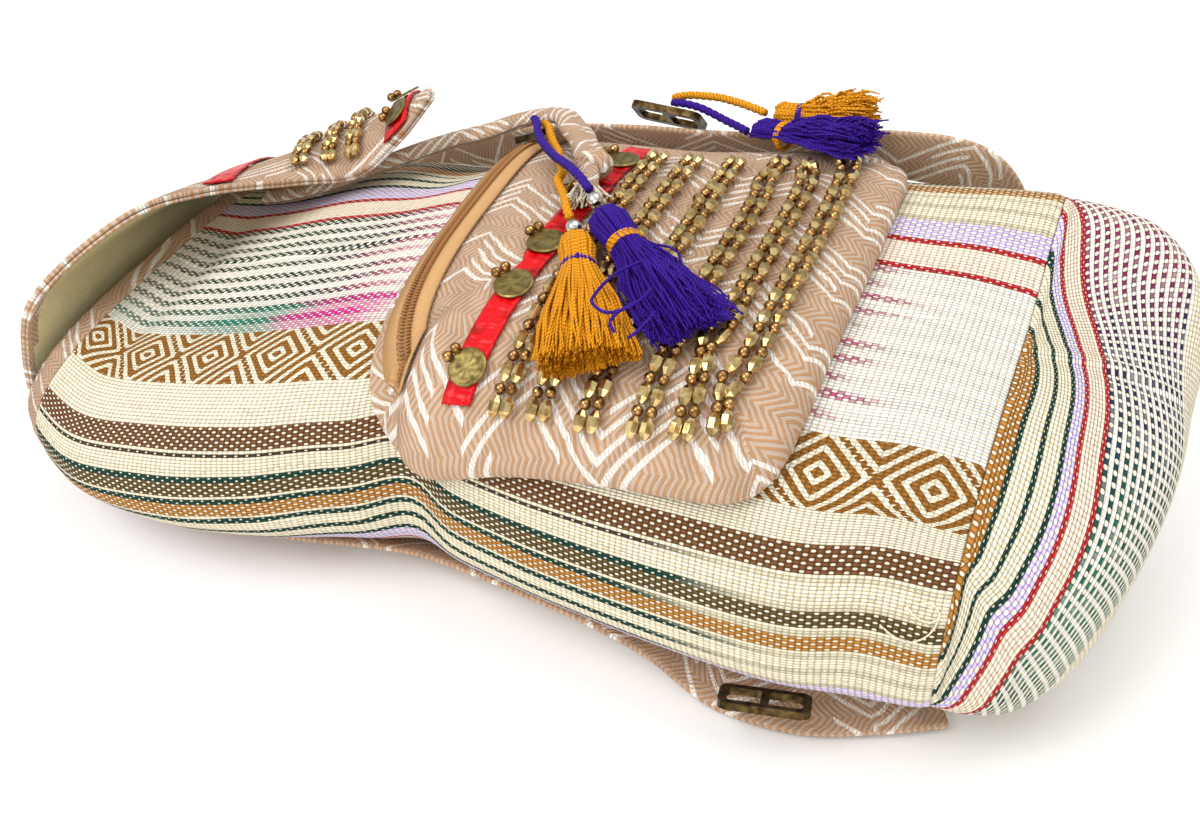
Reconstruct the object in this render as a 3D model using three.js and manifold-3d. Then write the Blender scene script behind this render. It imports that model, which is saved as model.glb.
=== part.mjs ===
// Woven cotton backpack lying on its back: a striped cloth body with a bulging base, a lined flap over the
// mouth, a beaded and zipped front pocket, thread tassels, a drawstring and two shoulder straps.
// Millimetres. X runs from the mouth (minus) to the base (plus), minus Y is the near side.
// Z is up from the floor.

import * as THREE from 'three';
import { mergeVertices } from 'three/addons/utils/BufferGeometryUtils.js';
import Module from 'manifold-3d';

const wasm = await Module();
wasm.setup();

// Driving sizes
const CLOTH = 2; // wall of the striped cotton
const GAP = 0.4; // clearance between pieces that touch
const TRIM_SEAT = 1.1; // height at which trims lie on a curved face
const FLAP_SEAT = 2.2; // the same on the flap, which is bent more
const POCKET_SEAT = 1.8; // height of the pocket's rim over the body
const BAG_SHIFT = { x: -15.4, y: -7 }; // puts the middle of the whole object over the origin
const MOUTH_X = -193;
const SEAM_X = 196;
const MOUTH_BAND_WIDTH = 11;
const MOUTH_BAND_WALL = 2.6;
const BASE_BULGE = 61;
const BASE_POLE = { y: 24, z: 76 };
const BASE_POWER = 2.6;
const BASE_LEAN = 12; // the bulge stands out further above than below
const FLOOR_PRESS = 1.12; // how far the round back is pressed flat on the floor
const FRONT_POWER = 3.1; // roundness of the section over the front
const BACK_POWER = 2;
const FRONT_REACH = 0.92; // share of the half width within which things lie on the front
const AROUND = 30; // facets round the body
const FLAP_CLOTH = 2.2;
const LINING_CLOTH = 1.4;
const POCKET = { x: 51, y: 2, halfLength: 87, halfWidth: 95, skew: 0.1 };
const POCKET_DEPTH = 12;
const POCKET_LEAN = 4; // deeper at the near side than at the far side
const POCKET_CROWN = 2;
const POCKET_CORNER = 9; // power of the rounded outline
const POCKET_EDGE = 13; // power of the round along the edge
const ZIP_SLOPE = 0.4; // share of the half length over which the zipped end slopes
const RIBBON_WIDTH = 11;
const RIBBON_CLOTH = 0.8;
const COIN_RADIUS = 7.4;
const COIN_THICK = 1.2;
const COIN_BEAD = 2.1;
const STRING_RADIUS = 2.4;
const STRING_PITCH = 4.7; // between the two strings of a row
const ROW_CROWDING = 1.7; // crowds the facets of a row at the rounded near edge
const STRAP_WIDTH = 27;
const STRAP_CLOTH = 3;
const CORD_RADIUS = 1.9;
const DRAWSTRING = { wide: 6.2, thick: 3.2 };

// Sections of the body from the mouth to the base seam. The rise lifts the far shoulder.
const BODY_SECTIONS = [
  { x: -205, half: 95, shift: 1, widest: 37, top: 69, rise: 0 },
  { x: -185, half: 106, shift: 1, widest: 38, top: 70, rise: 0 },
  { x: -150, half: 118, shift: 1, widest: 40, top: 77, rise: 0 },
  { x: -113, half: 121, shift: 2, widest: 41, top: 88, rise: 0 },
  { x: -76, half: 114, shift: 3, widest: 42, top: 103, rise: 0 },
  { x: -39, half: 102, shift: 4, widest: 44, top: 116, rise: 0 },
  { x: 0, half: 100, shift: 5, widest: 45, top: 121, rise: 0 },
  { x: 50, half: 107, shift: 5, widest: 47, top: 123, rise: 0 },
  { x: 100, half: 112, shift: 5, widest: 48, top: 125, rise: 0.2 },
  { x: 150, half: 112, shift: 5, widest: 48, top: 125, rise: 0.36 },
  { x: 196, half: 105, shift: 7, widest: 48, top: 118, rise: 0.75 },
];

// Dents and folds of the body: place, reach along the bag and round it, lean and depth (plus is inwards)
const FOLDS = [
  { x: -10, turn: 10, reach: 15, spread: 46, lean: 0.15, depth: 9 },
  { x: -172, turn: 75, reach: 9, spread: 26, lean: -0.1, depth: 6 },
  { x: -120, turn: 118, reach: 26, spread: 22, lean: 0, depth: -5 },
  { x: -72, turn: 122, reach: 22, spread: 20, lean: 0.2, depth: 6 },
  { x: -165, turn: 8, reach: 30, spread: 24, lean: 0, depth: -4 },
  { x: 172, turn: 10, reach: 16, spread: 30, lean: 0.2, depth: 4 },
];

// Sections of the flap from its seam at the back of the mouth to its tip: places on its near edge, its middle
// and its far edge. It comes up past the mouth and lies over to the far side, with its tip turned up.
const FLAP_SECTIONS = [
  { at: 0.0, near: [-207, -86, 4], middle: [-207, 0, 4], far: [-207, 86, 4] },
  { at: 0.12, near: [-213, -84, 28], middle: [-215, 0, 26], far: [-217, 84, 24] },
  { at: 0.26, near: [-212, -79, 64], middle: [-218, 2, 57], far: [-223, 80, 44] },
  { at: 0.36, near: [-206, -67, 90], middle: [-216, 8, 77], far: [-226, 84, 54] },
  { at: 0.5, near: [-178, -30, 114], middle: [-204, 32, 84], far: [-222, 88, 57] },
  { at: 0.62, near: [-164, 5, 109], middle: [-183, 54, 87], far: [-202, 98, 58] },
  { at: 0.75, near: [-138, 40, 99], middle: [-156, 82, 91], far: [-174, 112, 62] },
  { at: 0.87, near: [-113, 54, 100], middle: [-128, 87, 105], far: [-143, 112, 84] },
  { at: 0.95, near: [-90, 60, 121], middle: [-98, 80, 124], far: [-105, 97, 115] },
  { at: 1.0, near: [-74, 65, 141], middle: [-77, 70, 140], far: [-80, 76, 138] },
];
const FLAP_LENGTH = 290;
const FLAP_RIBBONS = [0.64, 0.95];
const FLAP_ROWS = [0.745, 0.805, 0.865];
const FLAP_COINS = [-0.45, 0.4];
const ROOTWARDS = new THREE.Vector3(-0.8, 0.2, -0.56); // from the flap's tip to its root

// Trims on the pocket face, as distance from the middle of the pocket along the bag and across it
const POCKET_RIBBON = { x: -26, slant: 0.05, near: -82, far: 60 };
const POCKET_COINS_Y = [-74, -46, -23, 9, 43];
const POCKET_ROWS = [
  { x: -11, near: -84, far: 53 },
  { x: 4, near: -84, far: 54 },
  { x: 22, near: -85, far: 56 },
  { x: 40, near: -85, far: 61 },
  { x: 54, near: -84, far: 64 },
  { x: 67, near: -83, far: 71 },
];

// Shoulder straps: middle of the band and its lean in degrees, from the base corner to the mouth
const NEAR_STRAP = [
  { x: 197, y: -66, z: 3, lean: -5 },
  { x: 174, y: -78, z: 4, lean: 0 },
  { x: 150, y: -87, z: 5, lean: 12 },
  { x: 122, y: -88, z: 5, lean: 8 },
  { x: 92, y: -78, z: 5, lean: -8 },
  { x: 50, y: -75, z: 8, lean: -26 },
  { x: -20, y: -70, z: 8, lean: -28 },
  { x: -90, y: -78, z: 5.2, lean: -15 },
  { x: -150, y: -80, z: 5.2, lean: -15 },
  { x: -192, y: -76, z: 6.2, lean: -20 },
];
const FAR_STRAP = [
  { x: 178, y: 90, z: 7.4, lean: -140 },
  { x: 178, y: 128, z: 42, lean: -100 },
  { x: 171, y: 131, z: 86, lean: -92 },
  { x: 156, y: 125, z: 113, lean: -86 },
  { x: 124, y: 121, z: 118, lean: -76 },
  { x: 80, y: 115, z: 115, lean: -58 },
  { x: 40, y: 112, z: 112, lean: -56 },
  { x: 6, y: 111, z: 108, lean: -60 },
  { x: -36, y: 116, z: 96, lean: -68 },
  { x: -90, y: 128, z: 70, lean: -84 },
  { x: -150, y: 126, z: 32, lean: -108 },
  { x: -190, y: 78, z: 6.2, lean: -161 },
];

// Routes of the cords
const DRAWSTRING_ROUTE = [
  [-172, 56, 74.6], [-158, 56, 79], [-140, 60, 85], [-118, 70, 93], [-98, 80, 100], [-80, 88, 106],
  [-64, 92, 111], [-48, 96, 117.5], [-33, 95, 123.5], [-20, 87, 129], [-8, 72, 133.5], [2, 59, 137.5],
  [10, 46, 141.5], [17, 36, 145],
];
const ZIP_CORD_PURPLE = [
  [-29.5, 76.5, 132.4], [-25, 70, 134.6], [-20, 61, 136.4], [-14, 52, 138], [-6, 42, 141], [2, 32, 145],
  [10, 23, 149], [18, 14, 153], [26, 6, 155], [33, -1, 155],
];
const ZIP_CORD_MUSTARD = [
  [-25, 76.5, 130.8], [-20.5, 72, 132.5], [-15, 63, 134.2], [-9, 54, 136], [-2, 44, 139], [4, 33, 141.6],
  [10, 23, 144], [12.8, 13, 146.6], [20, 3, 147.8], [26, -7, 149], [30, -13, 149.2],
];
const STRAP_CORD_PURPLE = [
  [22, 113, 130], [29, 111, 131.5], [36, 109, 132], [43, 106, 132], [50, 103, 131.5], [57, 99, 132],
  [63, 95, 132.6],
];
const STRAP_CORD_MUSTARD = [
  [20, 119, 129], [28, 118, 132], [36, 116, 134], [44, 114, 135.5], [52, 111, 136.5], [60, 108, 137],
  [68, 105, 137],
];

// Silver beads on the cords of the zip's tassels
const TASSEL_BEADS = [[37, -5, 153.5], [34, -18, 148.8]];
const TASSEL_BEAD_RADIUS = 3.2;

// Tassels: middle of the head, middle of the cut end, half widths at the head and the end, flatness
const TASSELS = [
  {
    name: 'zip_tassel_purple', color: '#2e1187',
    from: [40.5, -8, 151], to: [99, -59.6, 144], head: 8.4, end: 16, flat: 0.6,
  },
  {
    name: 'zip_tassel_mustard', color: '#c9881a',
    from: [36.5, -22, 149], to: [68, -83, 143.5], head: 7.4, end: 20, flat: 0.45,
  },
  {
    name: 'strap_tassel_purple', color: '#2e1187',
    from: [67, 91.5, 134.5], to: [122, 73.5, 149], head: 7.4, end: 13.5, flat: 0.6,
  },
  {
    name: 'strap_tassel_mustard', color: '#c9881a',
    from: [72, 104, 136], to: [116, 105, 143], head: 7.4, end: 14, flat: 0.7,
  },
];
const LOCKS = 7;
const TASSEL_SIDES = 18;
const TASSEL_PROFILE = [
  { at: 0.0, size: 0.35, part: 'head' },
  { at: 0.06, size: 0.85, part: 'head' },
  { at: 0.16, size: 1.0, part: 'head' },
  { at: 0.26, size: 0.8, part: 'head' },
  { at: 0.4, size: 0.45, part: 'skirt' },
  { at: 0.7, size: 0.8, part: 'skirt' },
  { at: 1.0, size: 1.0, part: 'skirt' },
];

const COLORS = {
  cotton: '#ede3c8',
  jacquard: '#c2a07e',
  lining: '#b0a068',
  ribbon: '#d3141a',
  coin: '#7b6c3e',
  bead: '#b79a5a',
  zipTape: '#d8ae7e',
  brass: '#4a3a22',
  purple: '#2e1187',
  mustard: '#c9881a',
  silver: '#d9d6cf',
};

const bag = new THREE.Group();
bag.position.set(BAG_SHIFT.x, BAG_SHIFT.y, 0);

// Adds one named piece to the bag.
function addPiece(name, geometry, color, metalness = 0, roughness = 0.9) {
  const mesh = new THREE.Mesh(geometry, new THREE.MeshStandardMaterial({ color, metalness, roughness }));
  mesh.name = name;
  bag.add(mesh);
}

// Cubic through the rows of a table, at one value of its first column.
function column(table, key, value, axis) {
  const last = table.length - 1;
  const at = THREE.MathUtils.clamp(value, table[0][axis], table[last][axis]);
  let i = 0;
  while (i < last - 1 && table[i + 1][axis] < at) i += 1;
  const slope = (j) => {
    const before = table[Math.max(j - 1, 0)];
    const after = table[Math.min(j + 1, last)];
    return (after[key] - before[key]) / (after[axis] - before[axis]);
  };
  const span = table[i + 1][axis] - table[i][axis];
  const t = (at - table[i][axis]) / span;
  const rise = t * t * (3 - 2 * t);
  const leave = t * (1 - t) * (1 - t) * span * slope(i);
  const arrive = t * t * (t - 1) * span * slope(i + 1);
  return table[i][key] * (1 - rise) + table[i + 1][key] * rise + leave + arrive;
}

// The same for a column of places.
function placeColumn(table, key, value, axis) {
  const parts = [0, 1, 2].map((i) => {
    const rows = table.map((row) => ({ [axis]: row[axis], part: row[key][i] }));
    return column(rows, 'part', value, axis);
  });
  return new THREE.Vector3(...parts);
}

// Point on a surface of two parameters, lifted along its normal.
function lifted(surface, u, v, lift) {
  const step = 0.002;
  const alongU = surface(u + step, v).sub(surface(u - step, v));
  const alongV = surface(u, v + step).sub(surface(u, v - step));
  return surface(u, v).add(alongU.cross(alongV).normalize().multiplyScalar(lift));
}

// Closed geometry from points and triangles: shared points merged, empty triangles dropped, faces outwards.
function closed(points, triangles) {
  const raw = new THREE.BufferGeometry();
  raw.setAttribute('position', new THREE.Float32BufferAttribute(points.flatMap((p) => p.toArray()), 3));
  raw.setIndex(triangles.flat());
  const merged = mergeVertices(raw, 1e-4);
  const index = merged.getIndex().array;
  const corner = (i) => new THREE.Vector3().fromBufferAttribute(merged.getAttribute('position'), i);
  const kept = [];
  let volume = 0;
  for (let i = 0; i < index.length; i += 3) {
    const [a, b, c] = [index[i], index[i + 1], index[i + 2]];
    if (a === b || b === c || a === c) continue;
    kept.push([a, b, c]);
    volume += corner(a).dot(corner(b).cross(corner(c)));
  }
  merged.setIndex(kept.flatMap(([a, b, c]) => (volume > 0 ? [a, b, c] : [a, c, b])));
  merged.computeVertexNormals();
  return merged;
}

// Wall between an outer and an inner grid of points. Columns may run round and close on themselves.
function wall(outer, inner, round) {
  const rows = outer.length;
  const cols = outer[0].length;
  const points = [...outer.flat(), ...inner.flat()];
  const out = (r, c) => r * cols + (c % cols);
  const inn = (r, c) => rows * cols + out(r, c);
  const triangles = [];
  const quad = (a, b, c, d) => triangles.push([a, b, c], [a, c, d]);
  const lastCol = round ? cols : cols - 1;
  for (let r = 0; r < rows - 1; r += 1) {
    for (let c = 0; c < lastCol; c += 1) {
      quad(out(r, c), out(r + 1, c), out(r + 1, c + 1), out(r, c + 1));
      quad(inn(r, c), inn(r, c + 1), inn(r + 1, c + 1), inn(r + 1, c));
    }
  }
  for (let c = 0; c < lastCol; c += 1) {
    quad(out(0, c), out(0, c + 1), inn(0, c + 1), inn(0, c));
    quad(out(rows - 1, c), inn(rows - 1, c), inn(rows - 1, c + 1), out(rows - 1, c + 1));
  }
  if (!round) {
    for (let r = 0; r < rows - 1; r += 1) {
      quad(out(r, 0), inn(r, 0), inn(r + 1, 0), out(r + 1, 0));
      quad(out(r, cols - 1), out(r + 1, cols - 1), inn(r + 1, cols - 1), inn(r, cols - 1));
    }
  }
  return closed(points, triangles);
}

// Solid through a row of closed rings, with a fan over each end.
function loft(rings) {
  const sides = rings[0].length;
  const points = rings.flat();
  const triangles = [];
  for (let r = 0; r < rings.length - 1; r += 1) {
    for (let c = 0; c < sides; c += 1) {
      const next = (c + 1) % sides;
      const [a, b] = [r * sides + c, r * sides + next];
      triangles.push([a, b, b + sides], [a, b + sides, a + sides]);
    }
  }
  const middle = (ring) => ring.reduce((sum, p) => sum.add(p), new THREE.Vector3()).divideScalar(sides);
  const [first, last] = [points.length, points.length + 1];
  points.push(middle(rings[0]), middle(rings[rings.length - 1]));
  const top = (rings.length - 1) * sides;
  for (let c = 0; c < sides; c += 1) {
    const next = (c + 1) % sides;
    triangles.push([first, next, c], [last, top + c, top + next]);
  }
  return closed(points, triangles);
}

// Fuses closed geometries into one.
function fuse(geometries) {
  const solids = geometries.map((geometry) => {
    const bare = geometry.clone();
    bare.deleteAttribute('normal');
    bare.deleteAttribute('uv');
    const merged = mergeVertices(bare, 1e-4);
    const vertProperties = new Float32Array(merged.getAttribute('position').array);
    const triVerts = new Uint32Array(merged.getIndex().array);
    return new wasm.Manifold(new wasm.Mesh({ numProp: 3, vertProperties, triVerts }));
  });
  const mesh = solids.reduce((sum, solid) => sum.add(solid)).getMesh();
  const geometry = new THREE.BufferGeometry();
  geometry.setAttribute('position', new THREE.Float32BufferAttribute(mesh.vertProperties, 3));
  geometry.setIndex(new THREE.Uint32BufferAttribute(mesh.triVerts, 1));
  geometry.computeVertexNormals();
  return geometry;
}

// Evenly spaced values from one end to the other.
function spaced(from, to, steps) {
  return Array.from({ length: steps + 1 }, (_, i) => from + ((to - from) * i) / steps);
}

// How far the folds push the body in, at a place along it and a turn round it in degrees.
function foldDepth(x, degrees) {
  return FOLDS.reduce((sum, fold) => {
    const round = ((degrees - fold.turn + 540) % 360) - 180;
    const along = x - fold.x - fold.lean * round;
    return sum + fold.depth * Math.exp(-((along / fold.reach) ** 2) - (round / fold.spread) ** 2);
  }, 0);
}

// Body: a rounded section, flat on the floor. The turn goes from the near side over the front.
function bodyPoint(x, turn) {
  const [half, shift, widest, top, rise] = ['half', 'shift', 'widest', 'top', 'rise'].map((key) =>
    column(BODY_SECTIONS, key, x, 'x'));
  const c = Math.cos(turn);
  const s = Math.sin(turn);
  const power = s < 0 ? BACK_POWER : FRONT_POWER;
  const out = -half * Math.sign(c) * Math.abs(c) ** (2 / power);
  const height = Math.abs(s) ** (2 / power);
  const far = Math.max(0, out / half);
  const up = s < 0 ? -widest * FLOOR_PRESS * height : (top - widest) * height * (1 + rise * far * far);
  const inwards = 1 - foldDepth(x, THREE.MathUtils.radToDeg(turn)) / Math.hypot(out, up, 20);
  return new THREE.Vector3(x, shift + out * inwards, Math.max(0, widest + up * inwards));
}

// Front of the body at a place along it and across it.
function frontPoint(x, y) {
  const half = column(BODY_SECTIONS, 'half', x, 'x');
  const across = (y - column(BODY_SECTIONS, 'shift', x, 'x')) / half;
  const c = Math.min(Math.abs(across), 1) ** (FRONT_POWER / 2);
  return bodyPoint(x, across < 0 ? Math.acos(c) : Math.PI - Math.acos(c));
}

function tubeWall(xs, turns, thick) {
  const grid = (lift) => xs.map((x) => turns.map((turn) => lifted(bodyPoint, x, turn, lift)));
  return wall(grid(0), grid(-thick), true);
}

function makeBody() {
  const turns = spaced(0, 2 * Math.PI, AROUND).slice(0, -1);
  addPiece('bag_body', tubeWall(spaced(MOUTH_X, SEAM_X, 17), turns, CLOTH), COLORS.cotton);
  const bandXs = [MOUTH_X - GAP - MOUTH_BAND_WIDTH, MOUTH_X - GAP];
  addPiece('mouth_band', tubeWall(bandXs, turns, MOUTH_BAND_WALL), COLORS.jacquard);
}

// Base: the seam section shrinking to a pole as it bulges out.
function basePoint(share, turn) {
  const seam = bodyPoint(SEAM_X, turn);
  const swing = (share * Math.PI) / 2;
  const reach = Math.max(0, Math.sin(swing)) ** (2 / BASE_POWER);
  const size = Math.max(0, Math.cos(swing)) ** (2 / BASE_POWER);
  const y = BASE_POLE.y + (seam.y - BASE_POLE.y) * size;
  const z = BASE_POLE.z + (seam.z - BASE_POLE.z) * size;
  const lean = (BASE_LEAN * reach * (z - BASE_POLE.z)) / BASE_POLE.z;
  return new THREE.Vector3(SEAM_X + GAP + BASE_BULGE * reach + lean, y, z);
}

function makeBase() {
  const turns = spaced(0, 2 * Math.PI, AROUND).slice(0, -1);
  const shares = [0, 0.12, 0.27, 0.45, 0.65, 0.85, 1];
  const outer = shares.map((share) => turns.map((turn) => basePoint(share, turn)));
  const inner = outer.map((row) => row.map((p) => new THREE.Vector3(
    SEAM_X + GAP + (p.x - SEAM_X - GAP) * (1 - CLOTH / BASE_BULGE),
    p.y + (BASE_POLE.y - p.y) * (CLOTH / 60),
    p.z + (BASE_POLE.z - p.z) * (CLOTH / 46),
  )));
  addPiece('base_panel', wall(outer, inner, true), COLORS.cotton);
}

// Flap: a twisted tongue, bent across from its near edge over its middle to its far edge.
function flapPoint(at, across) {
  const [near, middle, far] = ['near', 'middle', 'far'].map((key) =>
    placeColumn(FLAP_SECTIONS, key, at, 'at'));
  near.multiplyScalar((across * (across - 1)) / 2);
  near.addScaledVector(middle, 1 - across * across);
  return near.addScaledVector(far, (across * (across + 1)) / 2);
}

function flapLayer(low, high) {
  const ats = [...spaced(0, 0.9, 10), 0.95, 1];
  const row = (at, lift) => spaced(-1, 1, 6).map((across) => lifted(flapPoint, at, across, lift));
  const grid = (lift) => ats.map((at) => row(at, lift));
  return wall(grid(high), grid(low), false);
}

// Strip laid on a surface: a profile of offset and lift carried along a row of stations.
function stripOn(surface, stations, profile, place) {
  return loft(stations.map((station) => profile.map(([offset, lift]) => {
    const [u, v] = place(station, offset);
    return lifted(surface, u, v, lift);
  })));
}

// Section of a flat strip, and of two bead strings side by side
function flatProfile(width, low, high) {
  return [[-width / 2, low], [width / 2, low], [width / 2, high], [-width / 2, high]];
}

function doubleString(low) {
  const lobe = (middle, from, to) => spaced(from, to, 4).map((degrees) => {
    const turn = THREE.MathUtils.degToRad(degrees);
    return [middle + STRING_RADIUS * Math.cos(turn), low + STRING_RADIUS * (1 + Math.sin(turn))];
  });
  return [...lobe(STRING_PITCH / 2, -150, 150), ...lobe(-STRING_PITCH / 2, 30, 330)];
}

// Coin lying on a surface, fused to the two beads that hold it
function coinOn(surface, u, v, lift, toBeads) {
  const base = lifted(surface, u, v, lift);
  const normal = lifted(surface, u, v, lift + 1).sub(base).normalize();
  const outwards = toBeads.clone().projectOnPlane(normal).normalize();
  const coin = new THREE.CylinderGeometry(COIN_RADIUS, COIN_RADIUS, COIN_THICK, 14);
  coin.applyQuaternion(new THREE.Quaternion().setFromUnitVectors(new THREE.Vector3(0, 1, 0), normal));
  const middle = base.clone().addScaledVector(normal, COIN_THICK / 2);
  coin.translate(middle.x, middle.y, middle.z);
  const side = outwards.clone().cross(normal);
  const beads = [-1, 1].map((hand) => {
    const bead = new THREE.SphereGeometry(COIN_BEAD, 10, 4);
    const at = middle.clone().addScaledVector(outwards, COIN_RADIUS + COIN_BEAD * 0.3);
    at.addScaledVector(side, hand * COIN_BEAD * 0.94).addScaledVector(normal, COIN_BEAD - COIN_THICK / 2);
    return bead.translate(at.x, at.y, at.z);
  });
  return fuse([coin, ...beads]);
}

function makeFlap() {
  addPiece('flap', flapLayer(0, FLAP_CLOTH), COLORS.jacquard);
  addPiece('flap_lining', flapLayer(-GAP - LINING_CLOTH, -GAP), COLORS.lining);
  const on = FLAP_CLOTH + FLAP_SEAT;
  const place = (at) => (across, offset) => [at + offset / FLAP_LENGTH, across];
  FLAP_RIBBONS.forEach((at, i) => {
    const profile = flatProfile(RIBBON_WIDTH, on, on + RIBBON_CLOTH);
    const ribbon = stripOn(flapPoint, spaced(-0.97, 0.97, 6), profile, place(at));
    addPiece(`flap_ribbon_${i + 1}`, ribbon, COLORS.ribbon);
  });
  FLAP_ROWS.forEach((at, i) => {
    const row = stripOn(flapPoint, spaced(-0.84, 0.84, 6), doubleString(on + GAP), place(at));
    addPiece(`flap_bead_row_${i + 1}`, row, COLORS.bead, 0.9, 0.35);
  });
  FLAP_COINS.forEach((across, i) => {
    const coin = coinOn(flapPoint, FLAP_RIBBONS[1], across, on + RIBBON_CLOTH + 2 * GAP, ROOTWARDS);
    addPiece(`flap_coin_${i + 1}`, coin, COLORS.coin, 0.8, 0.5);
  });
}

// Pocket: a rounded outline on the front, steep at three sides and sloping at the zipped end.
function pocketLift(a, b) {
  const edge = Math.sqrt(Math.max(0, 1 - Math.abs(b) ** POCKET_EDGE));
  const share = Math.min(1, Math.max(0, (1 + a) / ZIP_SLOPE));
  const end = a > 0 ? Math.sqrt(Math.max(0, 1 - a ** POCKET_EDGE)) : Math.sin((share * Math.PI) / 2);
  return (POCKET_DEPTH - POCKET_LEAN * b + POCKET_CROWN * (1 - a * a) * (1 - b * b)) * edge * end;
}

function pocketPlan(a, b) {
  const square = Math.max(Math.abs(a), Math.abs(b), 1e-6);
  const rounded = (Math.abs(a) ** POCKET_CORNER + Math.abs(b) ** POCKET_CORNER) ** (1 / POCKET_CORNER);
  const pull = square / Math.max(rounded, 1e-6);
  const across = b * pull * POCKET.halfWidth;
  const lean = POCKET.skew * across * Math.max(0, -a);
  return [POCKET.x + a * pull * POCKET.halfLength - lean, POCKET.y + across];
}

function pocketPoint(a, b) {
  const [x, y] = pocketPlan(a, b);
  return lifted(frontPoint, x, y, POCKET_SEAT + CLOTH + pocketLift(a, b));
}

function makePocket() {
  const even = spaced(-1, 1, 12).map((t) => Math.sin((t * Math.PI) / 2));
  const outer = even.map((a) => even.map((b) => pocketPoint(a, b)));
  const inner = even.map((a) => even.map((b) => {
    const [x, y] = pocketPlan(a * 0.98, b * 0.98);
    return lifted(frontPoint, x, y, POCKET_SEAT + pocketLift(a, b));
  }));
  addPiece('pocket', wall(outer, inner, false), COLORS.jacquard);
  makeZip();
  makePocketTrim();
}

function makeZip() {
  const tape = 18;
  const sliderAt = 0.66;
  const middle = -1 + ZIP_SLOPE * 0.45;
  const place = (b, offset) => [middle + offset / POCKET.halfLength, b];
  const [low, thick, coil] = [TRIM_SEAT, TRIM_SEAT + 1.2, TRIM_SEAT + 2.8];
  const under = spaced(-tape / 2, tape / 2, 4).map((offset) => [offset, low]);
  const profile = [...under, [tape / 2, thick], [2.6, thick], [1.6, coil], [-1.6, coil], [-2.6, thick],
    [-tape / 2, thick]];
  const zip = stripOn(pocketPoint, spaced(-0.86, 0.86, 12), profile, place);
  addPiece('pocket_zip', zip, COLORS.zipTape);
  const base = lifted(pocketPoint, middle, sliderAt, coil + GAP);
  const up = lifted(pocketPoint, middle, sliderAt, coil + GAP + 1).sub(base).normalize();
  const outline = new THREE.Shape();
  outline.moveTo(-4.5, -6);
  outline.lineTo(4.5, -6);
  outline.lineTo(3.2, 2);
  outline.absarc(0, 8, 3.4, -0.5, Math.PI + 0.5, false);
  outline.lineTo(-3.2, 2);
  outline.closePath();
  const ring = new THREE.Path();
  ring.absarc(0, 8, 1.7, 0, Math.PI * 2, true);
  outline.holes.push(ring);
  const slider = new THREE.ExtrudeGeometry(outline, { depth: 3, bevelEnabled: false, curveSegments: 6 });
  slider.applyQuaternion(new THREE.Quaternion().setFromUnitVectors(new THREE.Vector3(0, 0, 1), up));
  slider.translate(base.x, base.y, base.z);
  addPiece('zip_slider', slider, COLORS.brass, 0.9, 0.4);
}

function makePocketTrim() {
  const across = (y) => y / POCKET.halfWidth;
  const along = (x) => x / POCKET.halfLength;
  const place = (x) => (y, offset) => [along(x + offset), across(y)];
  const slanted = (y, offset) => [along(POCKET_RIBBON.x + POCKET_RIBBON.slant * y + offset), across(y)];
  const strip = flatProfile(RIBBON_WIDTH, TRIM_SEAT, TRIM_SEAT + RIBBON_CLOTH);
  const ribbon = stripOn(pocketPoint, spaced(POCKET_RIBBON.near, POCKET_RIBBON.far, 12), strip, slanted);
  addPiece('pocket_ribbon', ribbon, COLORS.ribbon);
  POCKET_COINS_Y.forEach((y, i) => {
    const [a, b] = slanted(y, 0);
    const coin = coinOn(pocketPoint, a, b, TRIM_SEAT + RIBBON_CLOTH + GAP, new THREE.Vector3(-0.85, 0.52, 0));
    addPiece(`pocket_coin_${i + 1}`, coin, COLORS.coin, 0.8, 0.5);
  });
  POCKET_ROWS.forEach(({ x, near, far }, i) => {
    const stations = spaced(0, 1, 7).map((share) => near + (far - near) * share ** ROW_CROWDING);
    const row = stripOn(pocketPoint, stations, doubleString(TRIM_SEAT), place(x));
    addPiece(`pocket_bead_row_${i + 1}`, row, COLORS.bead, 0.9, 0.35);
  });
}

// Flat band along a row of middles, each with its own lean.
function bandAlong(rows, steps) {
  const curve = new THREE.CatmullRomCurve3(rows.map((row) => new THREE.Vector3(row.x, row.y, row.z)));
  const [w, t] = [STRAP_WIDTH / 2, STRAP_CLOTH / 2];
  const under = [[-w, -t / 2], [-w + t, -t], [w - t, -t], [w, -t / 2]];
  const section = [...under, ...under.map(([u, v]) => [-u, -v])];
  return loft(spaced(0, 1, steps).map((share) => {
    const place = share * (rows.length - 1);
    const row = Math.min(Math.floor(place), rows.length - 2);
    const degrees = THREE.MathUtils.lerp(rows[row].lean, rows[row + 1].lean, place - row);
    const lean = THREE.MathUtils.degToRad(degrees);
    const middle = curve.getPoint(share);
    const along = curve.getTangent(share);
    const face = new THREE.Vector3(0, Math.sin(lean), -Math.cos(lean));
    const wide = face.cross(along).normalize();
    const thin = along.clone().cross(wide).normalize();
    return section.map(([u, v]) => middle.clone().addScaledVector(wide, u).addScaledVector(thin, v));
  }));
}

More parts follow.
